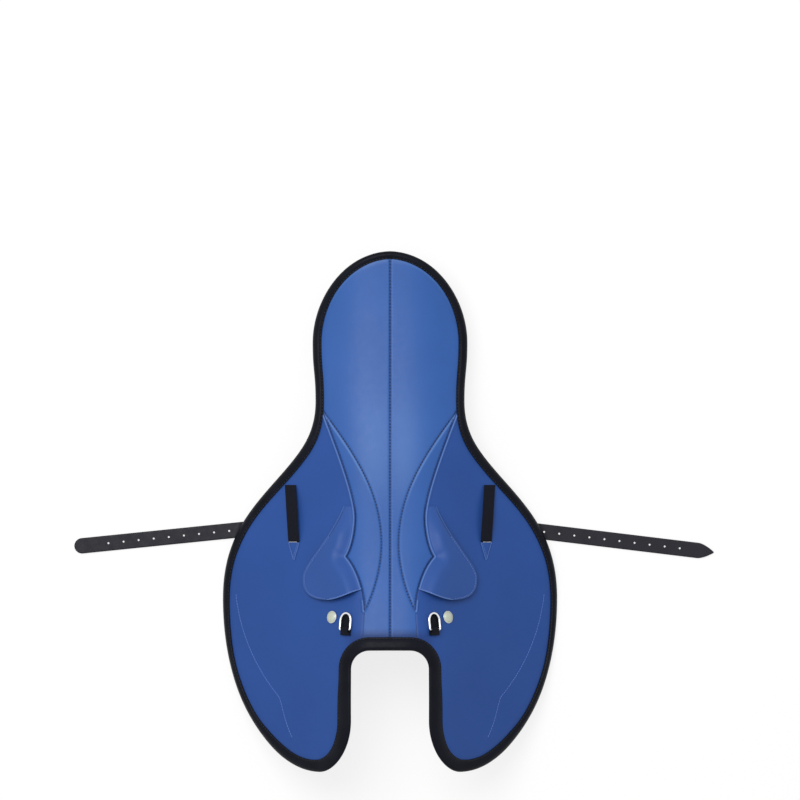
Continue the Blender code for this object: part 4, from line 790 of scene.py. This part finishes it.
# Painted shade along both leaf seams, deeper toward the rear on the inner one, and a painted highlight along
# the inner seam's shoulder, stronger toward the rear.
inner_shade = (0.10 + 0.35 * toward_rear(leaf_y)) * hill(inner_side - 1.0, 0.30)
leaf_painted_shade = np.maximum(inner_shade, 0.5 * hill(outer_side - 1.0, 0.40))
leaf_painted_highlight = (0.10 + 0.40 * toward_rear(leaf_y)) * hill(from_inner_seam - 0.0020, 0.0012)
for side, sign in SIDES:
    leaf = lay_sheet("waist_leaf_panel_" + side, sign * leaf_x, leaf_y, leaf_top, leaf_under)
    mark_leather(leaf, leaf_painted_shade, leaf_painted_highlight)
    dress(leaf, seat_blue, "seat_leather", "saddle", "waist_leaf_" + side)
    outer_stitches = moved_in(LEAF_OUTER_SEAM[4:-2], 0.0012)
    sew("outer_leaf_stitches_" + side, outer_stitches, navy_thread_hole_shade, "seat_leather", "saddle", sign,
        size=(0.0020, 0.0008, 0.0007), lift=-0.0004)

# The flap covers: the large blue leather faces of the flaps, glued over their foam and sewn to the
# leaves and to each other in front. The allowance of the leaf seam lies under the flap and makes
# a fine ridge, and a line of light stitches marks the knee.
flap_blue = blue_leather("blue_flap_leather", (0.022, 0.079, 0.314), deep=(0.003, 0.010, 0.065),
                         pale=(0.15, 0.28, 0.64), gloss=0.24)
cover_rows = rows_along((FLAP_REAR, 0.0014), (-0.126, 0.0022), (-0.168, 0.0007), (-0.180, 0.0025),
                        (-0.314, 0.0009), (TOE_CUT, 0.0))
cover_x, cover_y = flap_plan(cover_rows, EDGE_STEPS, 60, 1.0)
from_seam = from_line(cover_x, cover_y, LEAF_OUTER_SEAM)[0]
seam_side = hill(from_seam, 0.0009)
beside_skirt = np.clip((0.0075 - cover_y) / 0.002, 0.0, 1.0) * np.clip((cover_y + 0.1105) / 0.002, 0.0, 1.0)
ridge = 0.0012 * hill(from_seam - 0.0024, 0.0011) * (1.0 - beside_skirt)
pressed = hill(past_binding(cover_x, cover_y) + STITCH_INSET, PRESS_SPREAD)
front_joint = hill(cover_x - crossing(FLAP_INNER, cover_y), 0.0014)
front_joint = front_joint * np.clip((-0.119 - cover_y) / 0.003, 0.0, 1.0)
front_joint = np.where(cover_y > POMMEL_CUT, front_joint, 0.0)
cover_level = top_of(cover_x, cover_y)
cover_top = cover_level + ridge - 0.0010 * seam_side - 0.0012 * pressed - 0.0006 * front_joint
cover_under = cover_level - LEATHER_THICKNESS - 0.0004 * np.maximum(pressed, seam_side)
# Painted shade: darker in the leaf seam's groove, a little where the binding presses in, and where the flap
# rolls down toward the pommel beside the notch.
cover_roll_painted_shade = 0.4 * np.clip((-0.1450 - cover_y) / 0.010, 0.0, 1.0)
cover_roll_painted_shade = cover_roll_painted_shade * np.clip((0.058 - cover_x) / 0.012, 0.0, 1.0)
cover_painted_shade = np.maximum(np.maximum(0.6 * hill(from_seam, 0.0010), 0.12 * pressed), cover_roll_painted_shade)
KNEE_LINE = chain(curve((0.1932, -0.104), (0.1885, -0.150), (0.1700, -0.195), (0.1380, -0.2325), 41),
                  curve((0.1380, -0.2325), (0.1330, -0.250), (0.1300, -0.267), (0.1220, -0.2820), 17))
for side, sign in SIDES:
    flap = lay_sheet("flap_panel_" + side, sign * cover_x, cover_y, cover_top, cover_under)
    # Painted highlight along the crest of the ridge beside the leaf seam, except beside the skirt.
    mark_leather(flap, cover_painted_shade, 0.75 * hill(from_seam - 0.0019, 0.0008) * (1.0 - beside_skirt))
    cut_window(flap, sign)
    dress(flap, flap_blue, "flap_leather", "saddle", "flap_cover_" + side)
    sew("knee_stitches_" + side, KNEE_LINE, blue_thread, "flap_leather", "saddle", sign, pitch=0.0036,
        size=(0.0032, 0.0008, 0.0006), lift=0.0001)

# The binding: one strip of soft black leather folded over the whole edge and sewn through, with
# its ends joined at the cantle. It is pulled tight, so it is rounded at the fold and pressed
# down into the cover along its stitches.
binding_black, tree, shader, place = new_finish("black_binding_leather", (0.005, 0.006, 0.009), 0.38)
shader.inputs["Specular IOR Level"].default_value = 0.06
spread_tone(tree, mottle(tree, place, 40.0, 4.0), (0.005, 0.006, 0.010), (0.009, 0.010, 0.016),
            shader.inputs["Base Color"])
spread_tone(tree, mottle(tree, place, 150.0), (0.32,), (0.46,), shader.inputs["Roughness"])
raise_grain(tree, shader, pebbles(tree, place, 1100.0), 0.00006)
raise_grain(tree, shader, mottle(tree, place, 220.0, 4.0), 0.00010)
# How far the fold reaches past the edge's line, in millimetres, at numbered points of that line.
REACH_STATIONS = [(0, 1.1), (12, 0.2), (24, 0.0), (48, 0.6), (69, 0.9), (90, 0.8), (102, 2.0), (126, 2.4),
                  (150, 2.8), (182, 2.9), (190, 2.4), (198, 1.5), (206, 0.3), (214, -0.7), (230, -0.9),
                  (246, -0.3), (272, -0.4), (284, -0.7), (303, -0.9), (330, -0.7), (360, -0.9)]
EDGE_REACH = 0.001 * smooth_through(*np.array(REACH_STATIONS).T, EDGE_POINTS)
STRIP_THICKNESS = 0.0012
LARGEST_FOLD = 0.0048
FOLD_DROP = 0.0037
FOLD_OUTSIDE = 0.0057
FOLD_INSIDE = 0.0044
RING_SPACING = 0.0028
fold_turn = np.radians(np.linspace(90.0, 270.0, 15))
path_lengths = np.concatenate([[0.0], np.cumsum(np.hypot(*np.diff(EDGE_PATH, axis=0).T))])
path_run = np.gradient(EDGE_PATH, path_lengths, axis=0)
path_inward = np.column_stack([path_run[:, 1], -path_run[:, 0]])
path_inward /= np.hypot(path_inward[:, 0], path_inward[:, 1])[:, None]
ring_stops = np.linspace(0.0, path_lengths[-1], round(path_lengths[-1] / RING_SPACING) + 1)
half_rings = []
for stop in ring_stops:
    edge_at = np.array([np.interp(stop, path_lengths, axis) for axis in EDGE_PATH.T])
    inward = np.array([np.interp(stop, path_lengths, axis) for axis in path_inward.T])
    if stop in (ring_stops[0], ring_stops[-1]):
        inward[0] = 0.0
        edge_at[0] = 0.0
    inward /= np.hypot(*inward)
    width = float(np.interp(stop, path_lengths, EDGE_WIDTH))
    reach = float(np.interp(stop, path_lengths, EDGE_REACH))
    fold = min(LARGEST_FOLD, 0.46 * (width + reach))
    middle = fold - reach
    under = max(0.6 * width, middle + 0.0020)
    crown = 0.5 * (middle + width - 0.0026)
    section = [(width, -0.0003), (width - 0.0003, 0.0002), (width - 0.0009, 0.0003), (width - 0.0015, 0.0000),
               (width - 0.0020, 0.0005), (width - 0.0026, 0.0011), (crown, 0.0019)]
    section += [(middle + fold * math.cos(a), FOLD_OUTSIDE * math.sin(a) - FOLD_DROP) for a in fold_turn]
    section += [(under - 0.0004, -0.0093), (under, -0.0089), (under - 0.0004, -0.0083)]
    section += [(middle + (fold - STRIP_THICKNESS) * math.cos(a), FOLD_INSIDE * math.sin(a) - FOLD_DROP)
                for a in fold_turn[::-2]]
    section += [(crown, 0.0007), (width - 0.0026, -0.0001), (width - 0.0015, -0.0009),
                (width - 0.0003, -0.0009)]
    section = np.array(section + section[:1])
    plan = edge_at + section[:, :1] * inward
    heights = np.maximum(top_of(plan[:, 0], plan[:, 1]) + section[:, 1], 0.0)
    half_rings.append(np.column_stack([plan, heights]))
half_rings = np.array(half_rings)
other_half = half_rings[-2::-1] * (-1.0, 1.0, 1.0)
rings = np.vstack([half_rings, other_half])
bpy.ops.object.select_all(action="DESELECT")
bpy.ops.mesh.primitive_grid_add(x_subdivisions=rings.shape[1] - 1, y_subdivisions=rings.shape[0] - 1,
                                size=1.0)
binding = just_added("edge_binding_strip")
binding.data.vertices.foreach_set("co", rings.ravel())
binding.data.update()
bpy.ops.object.mode_set(mode="EDIT")
bpy.ops.mesh.select_all(action="SELECT")
bpy.ops.mesh.remove_doubles(threshold=0.000001)
face_outward()
bpy.ops.object.shade_smooth_by_angle(angle=math.radians(70.0))
dress(binding, binding_black, "binding_leather", "saddle", "edge_binding")
stitch_line = moved_in(EDGE_PATH, EDGE_WIDTH - STITCH_INSET)[1:-1]
for side, sign in SIDES:
    sew("binding_stitches_" + side, stitch_line, black_thread, "binding_leather", "saddle", sign,
        size=(0.0025, 0.0008, 0.0006), lift=0.0003)

# The surcingle loops: woven webbing, sewn down at both ends and bowed up between them, so that a
# girth can pass through. A small leather tab with stitched sides covers each front end.
loop_web, tree, shader, place = new_finish("black_webbing", (0.006, 0.007, 0.013), 0.8)
shader.inputs["Specular IOR Level"].default_value = 0.12
shader.inputs["Sheen Weight"].default_value = 0.02
picks = ribs(tree, place, "Y", 300.0)
ends = ribs(tree, place, "X", 230.0)
spread_tone(tree, picks, (0.003, 0.004, 0.009), (0.009, 0.010, 0.018), shader.inputs["Base Color"], 0.2, 0.8)
raise_grain(tree, shader, picks, 0.00025)
raise_grain(tree, shader, ends, 0.00015)
pale_thread = dyed_thread("pale_thread", (0.62, 0.64, 0.68), 0.2)
ABOVE_FLAP = 0.0006
LOOP_HALF_WIDTH = 0.0070
LOOP_THICKNESS = 0.0016
LOOP_BOW = 0.0065
TAB_MIDDLE = 0.1203
TAB_TOP = -0.0386
TAB_THICKNESS = 0.0012
TAB_SIDES = [(0.1145, -0.0392), (TAB_MIDDLE, -0.0585), (0.1261, -0.0392)]
LOOP_END = [(0.1150, TAB_TOP), (0.1256, TAB_TOP)]
loop_steps = np.linspace(0.0, 1.0, 61)
loop_along = 0.0330 - 0.0710 * loop_steps
loop_middle = 0.1248 - 0.0045 * loop_steps
tab_rows = np.linspace(TAB_TOP, -0.0605, 23)
tab_half = np.linspace(0.0070, 0.0008, 23)
for side, sign in SIDES:
    x = sign * across(loop_middle - LOOP_HALF_WIDTH, loop_middle + LOOP_HALF_WIDTH, [0.0, 0.0003, 0.0008], 12)
    y = along_rows(loop_along, x)
    rolled = 0.0003 * hill(np.abs(np.abs(x) - loop_middle[:, None]) - LOOP_HALF_WIDTH, 0.0007)
    under = top_of(x, y) + ABOVE_FLAP + LOOP_BOW * np.sin(math.pi * loop_steps)[:, None] ** 0.8
    loop = lay_sheet("webbing_loop_" + side, x, y, under + LOOP_THICKNESS - rolled, under + rolled)
    dress(loop, loop_web, "webbing", "saddle", "surcingle_loop_" + side)
    x = sign * across(TAB_MIDDLE - tab_half, TAB_MIDDLE + tab_half, [0.0, 0.0002, 0.0005, 0.0009], 10)
    y = along_rows(tab_rows, x)
    from_side = tab_half[:, None] - np.abs(np.abs(x) - TAB_MIDDLE)
    under = top_of(x, y) + ABOVE_FLAP
    tab_top = under + TAB_THICKNESS - 0.0005 * hill(from_side, 0.0005)
    tab = lay_sheet("leather_tab_" + side, x, y, tab_top, under)
    # Painted shade along the tab's stitch lines and a painted highlight along its edges.
    mark_leather(tab, 0.4 * hill(from_side - 0.0016, 0.0005), 0.45 * hill(from_side, 0.0009))
    dress(tab, flap_blue, "flap_leather", "saddle", "loop_tab_" + side)
    sew("tab_stitches_" + side, TAB_SIDES, blue_thread, "flap_leather", "saddle", sign, pitch=0.0024,
        size=(0.0017, 0.0007, 0.0006), lift=0.0017)
    sew("loop_end_stitches_" + side, LOOP_END, pale_thread, "webbing", "saddle", sign, pitch=0.0018,
        size=(0.0017, 0.0009, 0.0007), lift=0.0020)

# The front dees: rings of polished round wire, bent to a D and welded in the straight bar. Each
# swings in a strip of black leather, folded round the bar, trimmed to fit between its sides and
# sewn flat in front of it. A black leather patch lies under each ring, a little larger than it, and
# its black also paints the shade inside and around the ring.
polished, tree, shader, place = new_finish("polished_steel", (0.80, 0.81, 0.83), 0.14, 1.0)
spread_tone(tree, mottle(tree, place, 400.0, 3.0), (0.10,), (0.20,), shader.inputs["Roughness"])
raise_grain(tree, shader, mottle(tree, place, 1500.0), 0.00001)


def leather_frame(x, y, lift):
    """A place on the leather, lifted off it: X across the saddle and Z square to the leather."""
    slope_x, upward = lean(top_of, x, y, 0.0005)
    sideways = Vector((1.0, 0.0, slope_x)).normalized()
    turned = Matrix((sideways, upward.cross(sideways), upward)).transposed().to_4x4()
    turned.translation = Vector((x, y, float(top_of(x, y)))) + upward * lift
    return turned


def settle(piece, turned):
    """Puts the piece where the frame is, with its place in its mesh."""
    piece.matrix_world = turned
    bpy.ops.object.select_all(action="DESELECT")
    bpy.context.view_layer.objects.active = piece
    piece.select_set(True)
    bpy.ops.object.transform_apply(location=True, rotation=True, scale=True)


RING_HALF = 0.0077
CORNER_TURN = 0.00165
WIRE_RADIUS = 0.0014
BAR_PLACE = (0.0556, -0.1465)
BAR_LIFT = 0.0041
RING_SHIFT = 0.0022
CHAPE_SHIFT = 0.0028
CHAPE_TRIM = 0.72
CHAPE_FRONT = -0.0024
PATCH_MIDDLE = 0.0548
PATCH_TURN = -0.1340
PATCH_LIFT = 0.0004
wire_bar = np.column_stack([np.linspace(CORNER_TURN - RING_HALF, RING_HALF - CORNER_TURN, 9), np.zeros(9)])
wire_corner = np.array([(RING_HALF - CORNER_TURN * (1.0 - math.sin(a)), CORNER_TURN * (1.0 - math.cos(a)))
                        for a in np.radians([20.0, 40.0, 60.0, 80.0, 90.0])])
wire_side = np.column_stack([np.full(4, RING_HALF), np.linspace(0.0035, 0.0095, 4)])
wire_bow = np.array([(RING_HALF * math.cos(a), 0.0110 + 0.0096 * math.sin(a))
                     for a in np.linspace(0.0, math.pi, 25)])
wire = np.vstack([wire_bar, wire_corner, wire_side, wire_bow, wire_side[::-1] * (-1.0, 1.0),
                  wire_corner[::-1] * (-1.0, 1.0)])
wire_run = np.roll(wire, -1, axis=0) - np.roll(wire, 1, axis=0)
wire_run /= np.hypot(wire_run[:, 0], wire_run[:, 1])[:, None]
round_turn = np.linspace(0.0, 2.0 * math.pi, 14, endpoint=False)
wire_rings = np.array([[(at[0] + run[1] * WIRE_RADIUS * math.cos(a),
                         at[1] - run[0] * WIRE_RADIUS * math.cos(a),
                         WIRE_RADIUS * math.sin(a)) for a in round_turn] for at, run in zip(wire, wire_run)])
rounded_end = PATCH_TURN + 0.0068 * np.sin(np.linspace(0.0, 1.5, 13))[1:]
patch_rows = np.concatenate([np.linspace(-0.1500, PATCH_TURN, 17), rounded_end])
patch_half = 0.0064 * np.sqrt(1.0 - (np.clip((patch_rows - PATCH_TURN) / 0.0070, 0.0, 1.0)) ** 2)
for side, sign in SIDES:
    # The patch: black leather whose dark also paints the shade inside and around the ring.
    x = sign * across(PATCH_MIDDLE - patch_half, PATCH_MIDDLE + patch_half, [0.0, 0.0003, 0.0007], 12)
    y = along_rows(patch_rows, x)
    level = top_of(x, y) + PATCH_LIFT
    from_side = np.minimum((patch_half[:, None] - np.abs(np.abs(x) - PATCH_MIDDLE)) / 0.0007, 1.0)
    patch = lay_sheet("dee_patch_" + side, x, y, level + 0.0006 + 0.0004 * from_side, level)
    dress(patch, binding_black, "binding_leather", "saddle")
    bpy.ops.object.select_all(action="DESELECT")
    bpy.ops.mesh.primitive_torus_add(major_segments=len(wire), minor_segments=len(round_turn))
    dee = just_added("wire_dee_" + side)
    dee.data.vertices.foreach_set("co", (wire_rings - (sign * RING_SHIFT, 0.0, 0.0)).ravel())
    bar_frame = leather_frame(sign * BAR_PLACE[0], BAR_PLACE[1], BAR_LIFT)
    settle(dee, bar_frame)
    face_outward()
    bpy.ops.object.shade_smooth()
    dress(dee, polished, "ring_steel", side + "_dee", "dee_" + side)
    chape = soften("dee_chape_" + side, "folded_chape_" + side, 0.0003)
    for corner in chape.data.vertices:
        place = bar_frame.inverted() @ corner.co
        trimmed = min(1.0, CHAPE_TRIM + max(0.0, CHAPE_FRONT - place.y) * 200.0)
        place.x = place.x * trimmed - sign * CHAPE_SHIFT
        corner.co = bar_frame @ place
    dress(chape, binding_black, "binding_leather", "saddle", "dee_chape_" + side)

# The head studs: domed nails with a cream enamel face and a bright rim, driven through the
# leather into the points of the tree, beside the dees.
enamel, tree, shader, place = new_finish("cream_enamel", (0.56, 0.61, 0.50), 0.32)
shader.inputs["Coat Weight"].default_value = 0.4
spread_tone(tree, mottle(tree, place, 260.0, 3.0), (0.52, 0.57, 0.46), (0.61, 0.66, 0.55),
            shader.inputs["Base Color"])
raise_grain(tree, shader, mottle(tree, place, 900.0), 0.00002)
nickel, tree, shader, place = new_finish("nickel_rim", (0.66, 0.69, 0.71), 0.3, 0.6)
spread_tone(tree, mottle(tree, place, 500.0), (0.60, 0.63, 0.65), (0.72, 0.75, 0.77),
            shader.inputs["Base Color"])
STUD_PLACE = (0.0719, -0.1310)
STUD_FOOT = 0.0070
RIM_RADIUS = 0.0072
RIM_WIRE = 0.0006
DOME = [(0.0072, 0.0003), (0.0073, 0.0009), (0.0071, 0.0012), (0.0067, 0.0013), (0.0064, 0.0013),
        (0.0062, 0.0015), (0.0058, 0.0019), (0.0050, 0.0023), (0.0040, 0.0026), (0.0029, 0.0028),
        (0.0017, 0.0029), (0.0007, 0.0030)]
for side, sign in SIDES:
    bpy.ops.object.select_all(action="DESELECT")
    bpy.ops.mesh.primitive_circle_add(vertices=48, radius=STUD_FOOT, fill_type="NGON")
    stud = just_added("domed_stud_" + side)
    bpy.ops.object.mode_set(mode="EDIT")
    bpy.ops.mesh.select_all(action="SELECT")
    reach, level = STUD_FOOT, 0.0
    for radius, rise in DOME:
        bpy.ops.mesh.extrude_region_move(TRANSFORM_OT_translate={"value": (0.0, 0.0, rise - level)})
        bpy.ops.transform.resize(value=(radius / reach, radius / reach, 1.0),
                                 center_override=(0.0, 0.0, rise))
        reach, level = radius, rise
    face_outward()
    bpy.ops.object.shade_smooth_by_angle(angle=math.radians(50.0))
    settle(stud, leather_frame(sign * STUD_PLACE[0], STUD_PLACE[1], 0.0006))
    dress(stud, enamel, "stud_metal", "saddle", "head_stud_" + side)
    bpy.ops.object.select_all(action="DESELECT")
    bpy.ops.mesh.primitive_torus_add(major_segments=48, minor_segments=10, major_radius=RIM_RADIUS,
                                     minor_radius=RIM_WIRE)
    rim = just_added("stud_rim_" + side)
    bpy.ops.object.mode_set(mode="EDIT")
    bpy.ops.mesh.select_all(action="SELECT")
    bpy.ops.transform.resize(value=(1.0, 1.0, 0.8))
    bpy.ops.object.mode_set(mode="OBJECT")
    bpy.ops.object.shade_smooth()
    settle(rim, leather_frame(sign * STUD_PLACE[0], STUD_PLACE[1], 0.0010))
    dress(rim, nickel, "stud_metal", "saddle")

# The skirts: small leather flaps sewn under the leaves' outer seams, which cover the stirrup
# bars and lift for the stirrup leathers. They bow up over the bars, and their free edges are
# turned, with a row of light stitches.
SKIRT_REAR = 0.0065
SKIRT_LIFT = 0.0008
SKIRT_BOW = 0.0102
SKIRT_THICKNESS = 0.0024
STITCH_LINE_INSET = 0.0018
SKIRT_EDGE_STEPS = [0.0, 0.0003, 0.0006, 0.0010, 0.0014, 0.0018, 0.0023, 0.0029, 0.0040]
SKIRT_OUTER = chain(curve((0.0583, SKIRT_REAR), (0.0753, -0.0363), (0.1088, -0.0654), (0.1088, -0.0823), 49),
                    curve((0.1088, -0.0823), (0.1088, -0.0977), (0.1041, -0.1095), (0.0782, -0.1095), 33))
SKIRT_FRONT = curve((0.0340, -0.0960), (0.0500, -0.0990), (0.0640, -0.1088), (0.0782, -0.1095), 33)
SKIRT_SEAM = LEAF_OUTER_SEAM[LEAF_OUTER_SEAM[:, 1] > -0.095]


def eased(share):
    """From 0 to 1, starting and ending gently."""
    share = np.clip(share, 0.0, 1.0)
    return share * share * (3.0 - 2.0 * share)


def under_skirt(x, y):
    """Height of a skirt's underside, which bows up over the stirrup bar."""
    out = from_line(np.abs(x), y, SKIRT_SEAM)[0]
    swell = eased(out / 0.021) * (1.0 - 0.45 * eased((out - 0.018) / 0.048)) * eased((SKIRT_REAR - y) / 0.038)
    return top_of(x, y) + SKIRT_LIFT + SKIRT_BOW * swell


def over_skirt(x, y):
    """Height of a skirt's upper face."""
    return under_skirt(x, y) + SKIRT_THICKNESS


skirt_rows = rows_along((SKIRT_REAR, 0.0011), (-0.0950, 0.0005), (-0.1093, 0.0))
skirt_in = crossing(chain(SKIRT_SEAM, SKIRT_FRONT), skirt_rows) + SEAM_GAP
skirt_out = np.maximum(crossing(SKIRT_OUTER, skirt_rows), skirt_in + 0.001)
skirt_x = across(skirt_in, skirt_out, SKIRT_EDGE_STEPS, 30)
skirt_y = along_rows(skirt_rows, skirt_x)
from_front = from_line(skirt_x, skirt_y, SKIRT_FRONT)[0]
from_free_edge = np.minimum(from_line(skirt_x, skirt_y, SKIRT_OUTER)[0], from_front)
from_sewn_side = from_line(skirt_x, skirt_y, SKIRT_SEAM)[0]
sewn_side = hill(from_sewn_side, 0.0012)
seam_ridge = hill(from_sewn_side - 0.0022, 0.0010)
edge_share = np.minimum(from_free_edge / 0.0011, 1.0)
skirt_round = 0.0010 * (1.0 - np.sqrt(1.0 - (1.0 - edge_share) ** 2))
stitch_dip = 0.0003 * hill(from_free_edge - STITCH_LINE_INSET, 0.0006)
thinned = 0.0014 * hill(from_sewn_side, 0.0070)
skirt_top = over_skirt(skirt_x, skirt_y) - skirt_round - stitch_dip - thinned - 0.0010 * sewn_side
skirt_top = skirt_top + 0.0010 * seam_ridge
skirt_under = under_skirt(skirt_x, skirt_y) + 0.5 * skirt_round - 0.0004 * sewn_side
free_edge = moved_in(SKIRT_OUTER, STITCH_LINE_INSET)
# Painted shade in the sewn side's groove and along the stitch line; painted highlight on the seam ridge and
# the free edge, brightest along the front lip, with the whole skirt drawn a little paler than the flap.
skirt_painted_shade = np.maximum(0.5 * sewn_side, 0.3 * hill(from_free_edge - STITCH_LINE_INSET, 0.0005))
skirt_painted_highlight = np.maximum(0.75 * hill(from_sewn_side - 0.0018, 0.0008), 0.35 * hill(from_free_edge, 0.0009))
skirt_painted_highlight = np.maximum(np.maximum(skirt_painted_highlight, 0.9 * hill(from_front, 0.0011)), 0.06)
HINGE_RUN = (-0.0982, -0.93546, 0.33951)
HINGE_AT = (0.0393, -0.0450)


def bend_up(piece, sign):
    """Bakes the piece's place into its mesh; the hinge along the skirt's seam is worked out here, but nothing
    bends on it.
    """
    along = Vector((sign * HINGE_RUN[0], HINGE_RUN[1], HINGE_RUN[2]))
    hinge = leather_frame(sign * HINGE_AT[0], HINGE_AT[1], 0.0).translation
    outward = leather_frame(sign * 0.0700, HINGE_AT[1], 0.0).translation - hinge
    outward = (outward - along * outward.dot(along)).normalized()
    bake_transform(piece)


for side, sign in SIDES:
    skirt = lay_sheet("bowed_skirt_" + side, sign * skirt_x, skirt_y, skirt_top, skirt_under)
    mark_leather(skirt, skirt_painted_shade, skirt_painted_highlight)
    dress(skirt, flap_blue, "flap_leather", None, "skirt_" + side)
    tail = sew("skirt_top_stitches_" + side, free_edge[2:16], navy_thread_hole_shade, "flap_leather", None, sign,
               size=(0.0020, 0.0008, 0.0007), surface=over_skirt, lift=-0.0001, pitch=0.0030)
    edge = sew("skirt_edge_stitches_" + side, free_edge[15:-1], blue_thread, "flap_leather", None, sign,
               size=(0.0022, 0.0008, 0.0007), surface=over_skirt, lift=-0.0001, pitch=0.0033)
    front = sew("skirt_front_stitches_" + side, SKIRT_FRONT[3:-2] + (0.0, 0.0016), blue_thread,
                "flap_leather", None, sign, size=(0.0022, 0.0008, 0.0007), surface=over_skirt,
                lift=-0.0001, pitch=0.0033)
    for piece in (skirt, tail, edge, front):
        bend_up(piece, sign)

# The floor, the light and the camera: a plain white floor, one large soft lamp behind the cantle
# and to the left, and the camera straight above, as in the photograph.


def in_sight(tree):
    """1 where it is seen, straight, mirrored or through something, and 0 where it only lights a piece."""
    ray = tree.nodes.new("ShaderNodeLightPath")
    seen = ray.outputs["Is Camera Ray"]
    for way in ("Is Glossy Ray", "Is Transmission Ray"):
        either = tree.nodes.new("ShaderNodeMath")
        either.operation = "MAXIMUM"
        tree.links.new(seen, either.inputs[0])
        tree.links.new(ray.outputs[way], either.inputs[1])
        seen = either.outputs["Value"]
    return seen


paper, tree, shader, place = new_finish("white_floor", (0.22, 0.22, 0.22), 0.9)
shader.inputs["Specular IOR Level"].default_value = 0.0
shader.inputs["Emission Color"].default_value = (0.80, 0.80, 0.80, 1.0)
tree.links.new(in_sight(tree), shader.inputs["Emission Strength"])
bpy.ops.object.select_all(action="DESELECT")
bpy.ops.mesh.primitive_plane_add(size=30.0, location=(0.0, 0.0, -0.0002))
floor = bpy.context.object
floor.name = "studio_floor"
bpy.ops.object.transform_apply(location=True, rotation=True, scale=True)
floor.data.materials.append(paper)

backdrop = bpy.data.worlds.new("white_backdrop")
backdrop.use_nodes = True
bpy.context.scene.world = backdrop
tree = backdrop.node_tree
ambient = tree.nodes["Background"]
ambient.inputs["Color"].default_value = (1.0, 1.0, 1.0, 1.0)
ambient.inputs["Strength"].default_value = 0.50
shown = tree.nodes.new("ShaderNodeBackground")
shown.inputs["Color"].default_value = (1.0, 1.0, 1.0, 1.0)
shown.inputs["Strength"].default_value = 1.0
lit_or_shown = tree.nodes.new("ShaderNodeMixShader")
tree.links.new(in_sight(tree), lit_or_shown.inputs["Fac"])
tree.links.new(ambient.outputs["Background"], lit_or_shown.inputs[1])
tree.links.new(shown.outputs["Background"], lit_or_shown.inputs[2])
tree.links.new(lit_or_shown.outputs["Shader"], tree.nodes["World Output"].inputs["Surface"])

bpy.ops.object.light_add(type="AREA", location=(-0.6, 0.9, 2.8))
lamp = bpy.context.object
lamp.name = "soft_lamp"
lamp.data.shape = "SQUARE"
lamp.data.size = 1.6
lamp.data.energy = 52.0
lamp.rotation_euler = (Vector((0.0, 0.0, 0.1)) - lamp.location).to_track_quat("-Z", "Y").to_euler()
bpy.ops.object.camera_add(location=(0.0125, 0.1394, 14.0), rotation=(0.0, 0.0, 0.0))
camera = bpy.context.object
camera.data.lens = 501.5
camera.data.sensor_width = 36.0
camera.data.clip_end = 100.0
bpy.context.scene.camera = camera
bpy.context.scene.view_settings.view_transform = "Standard"
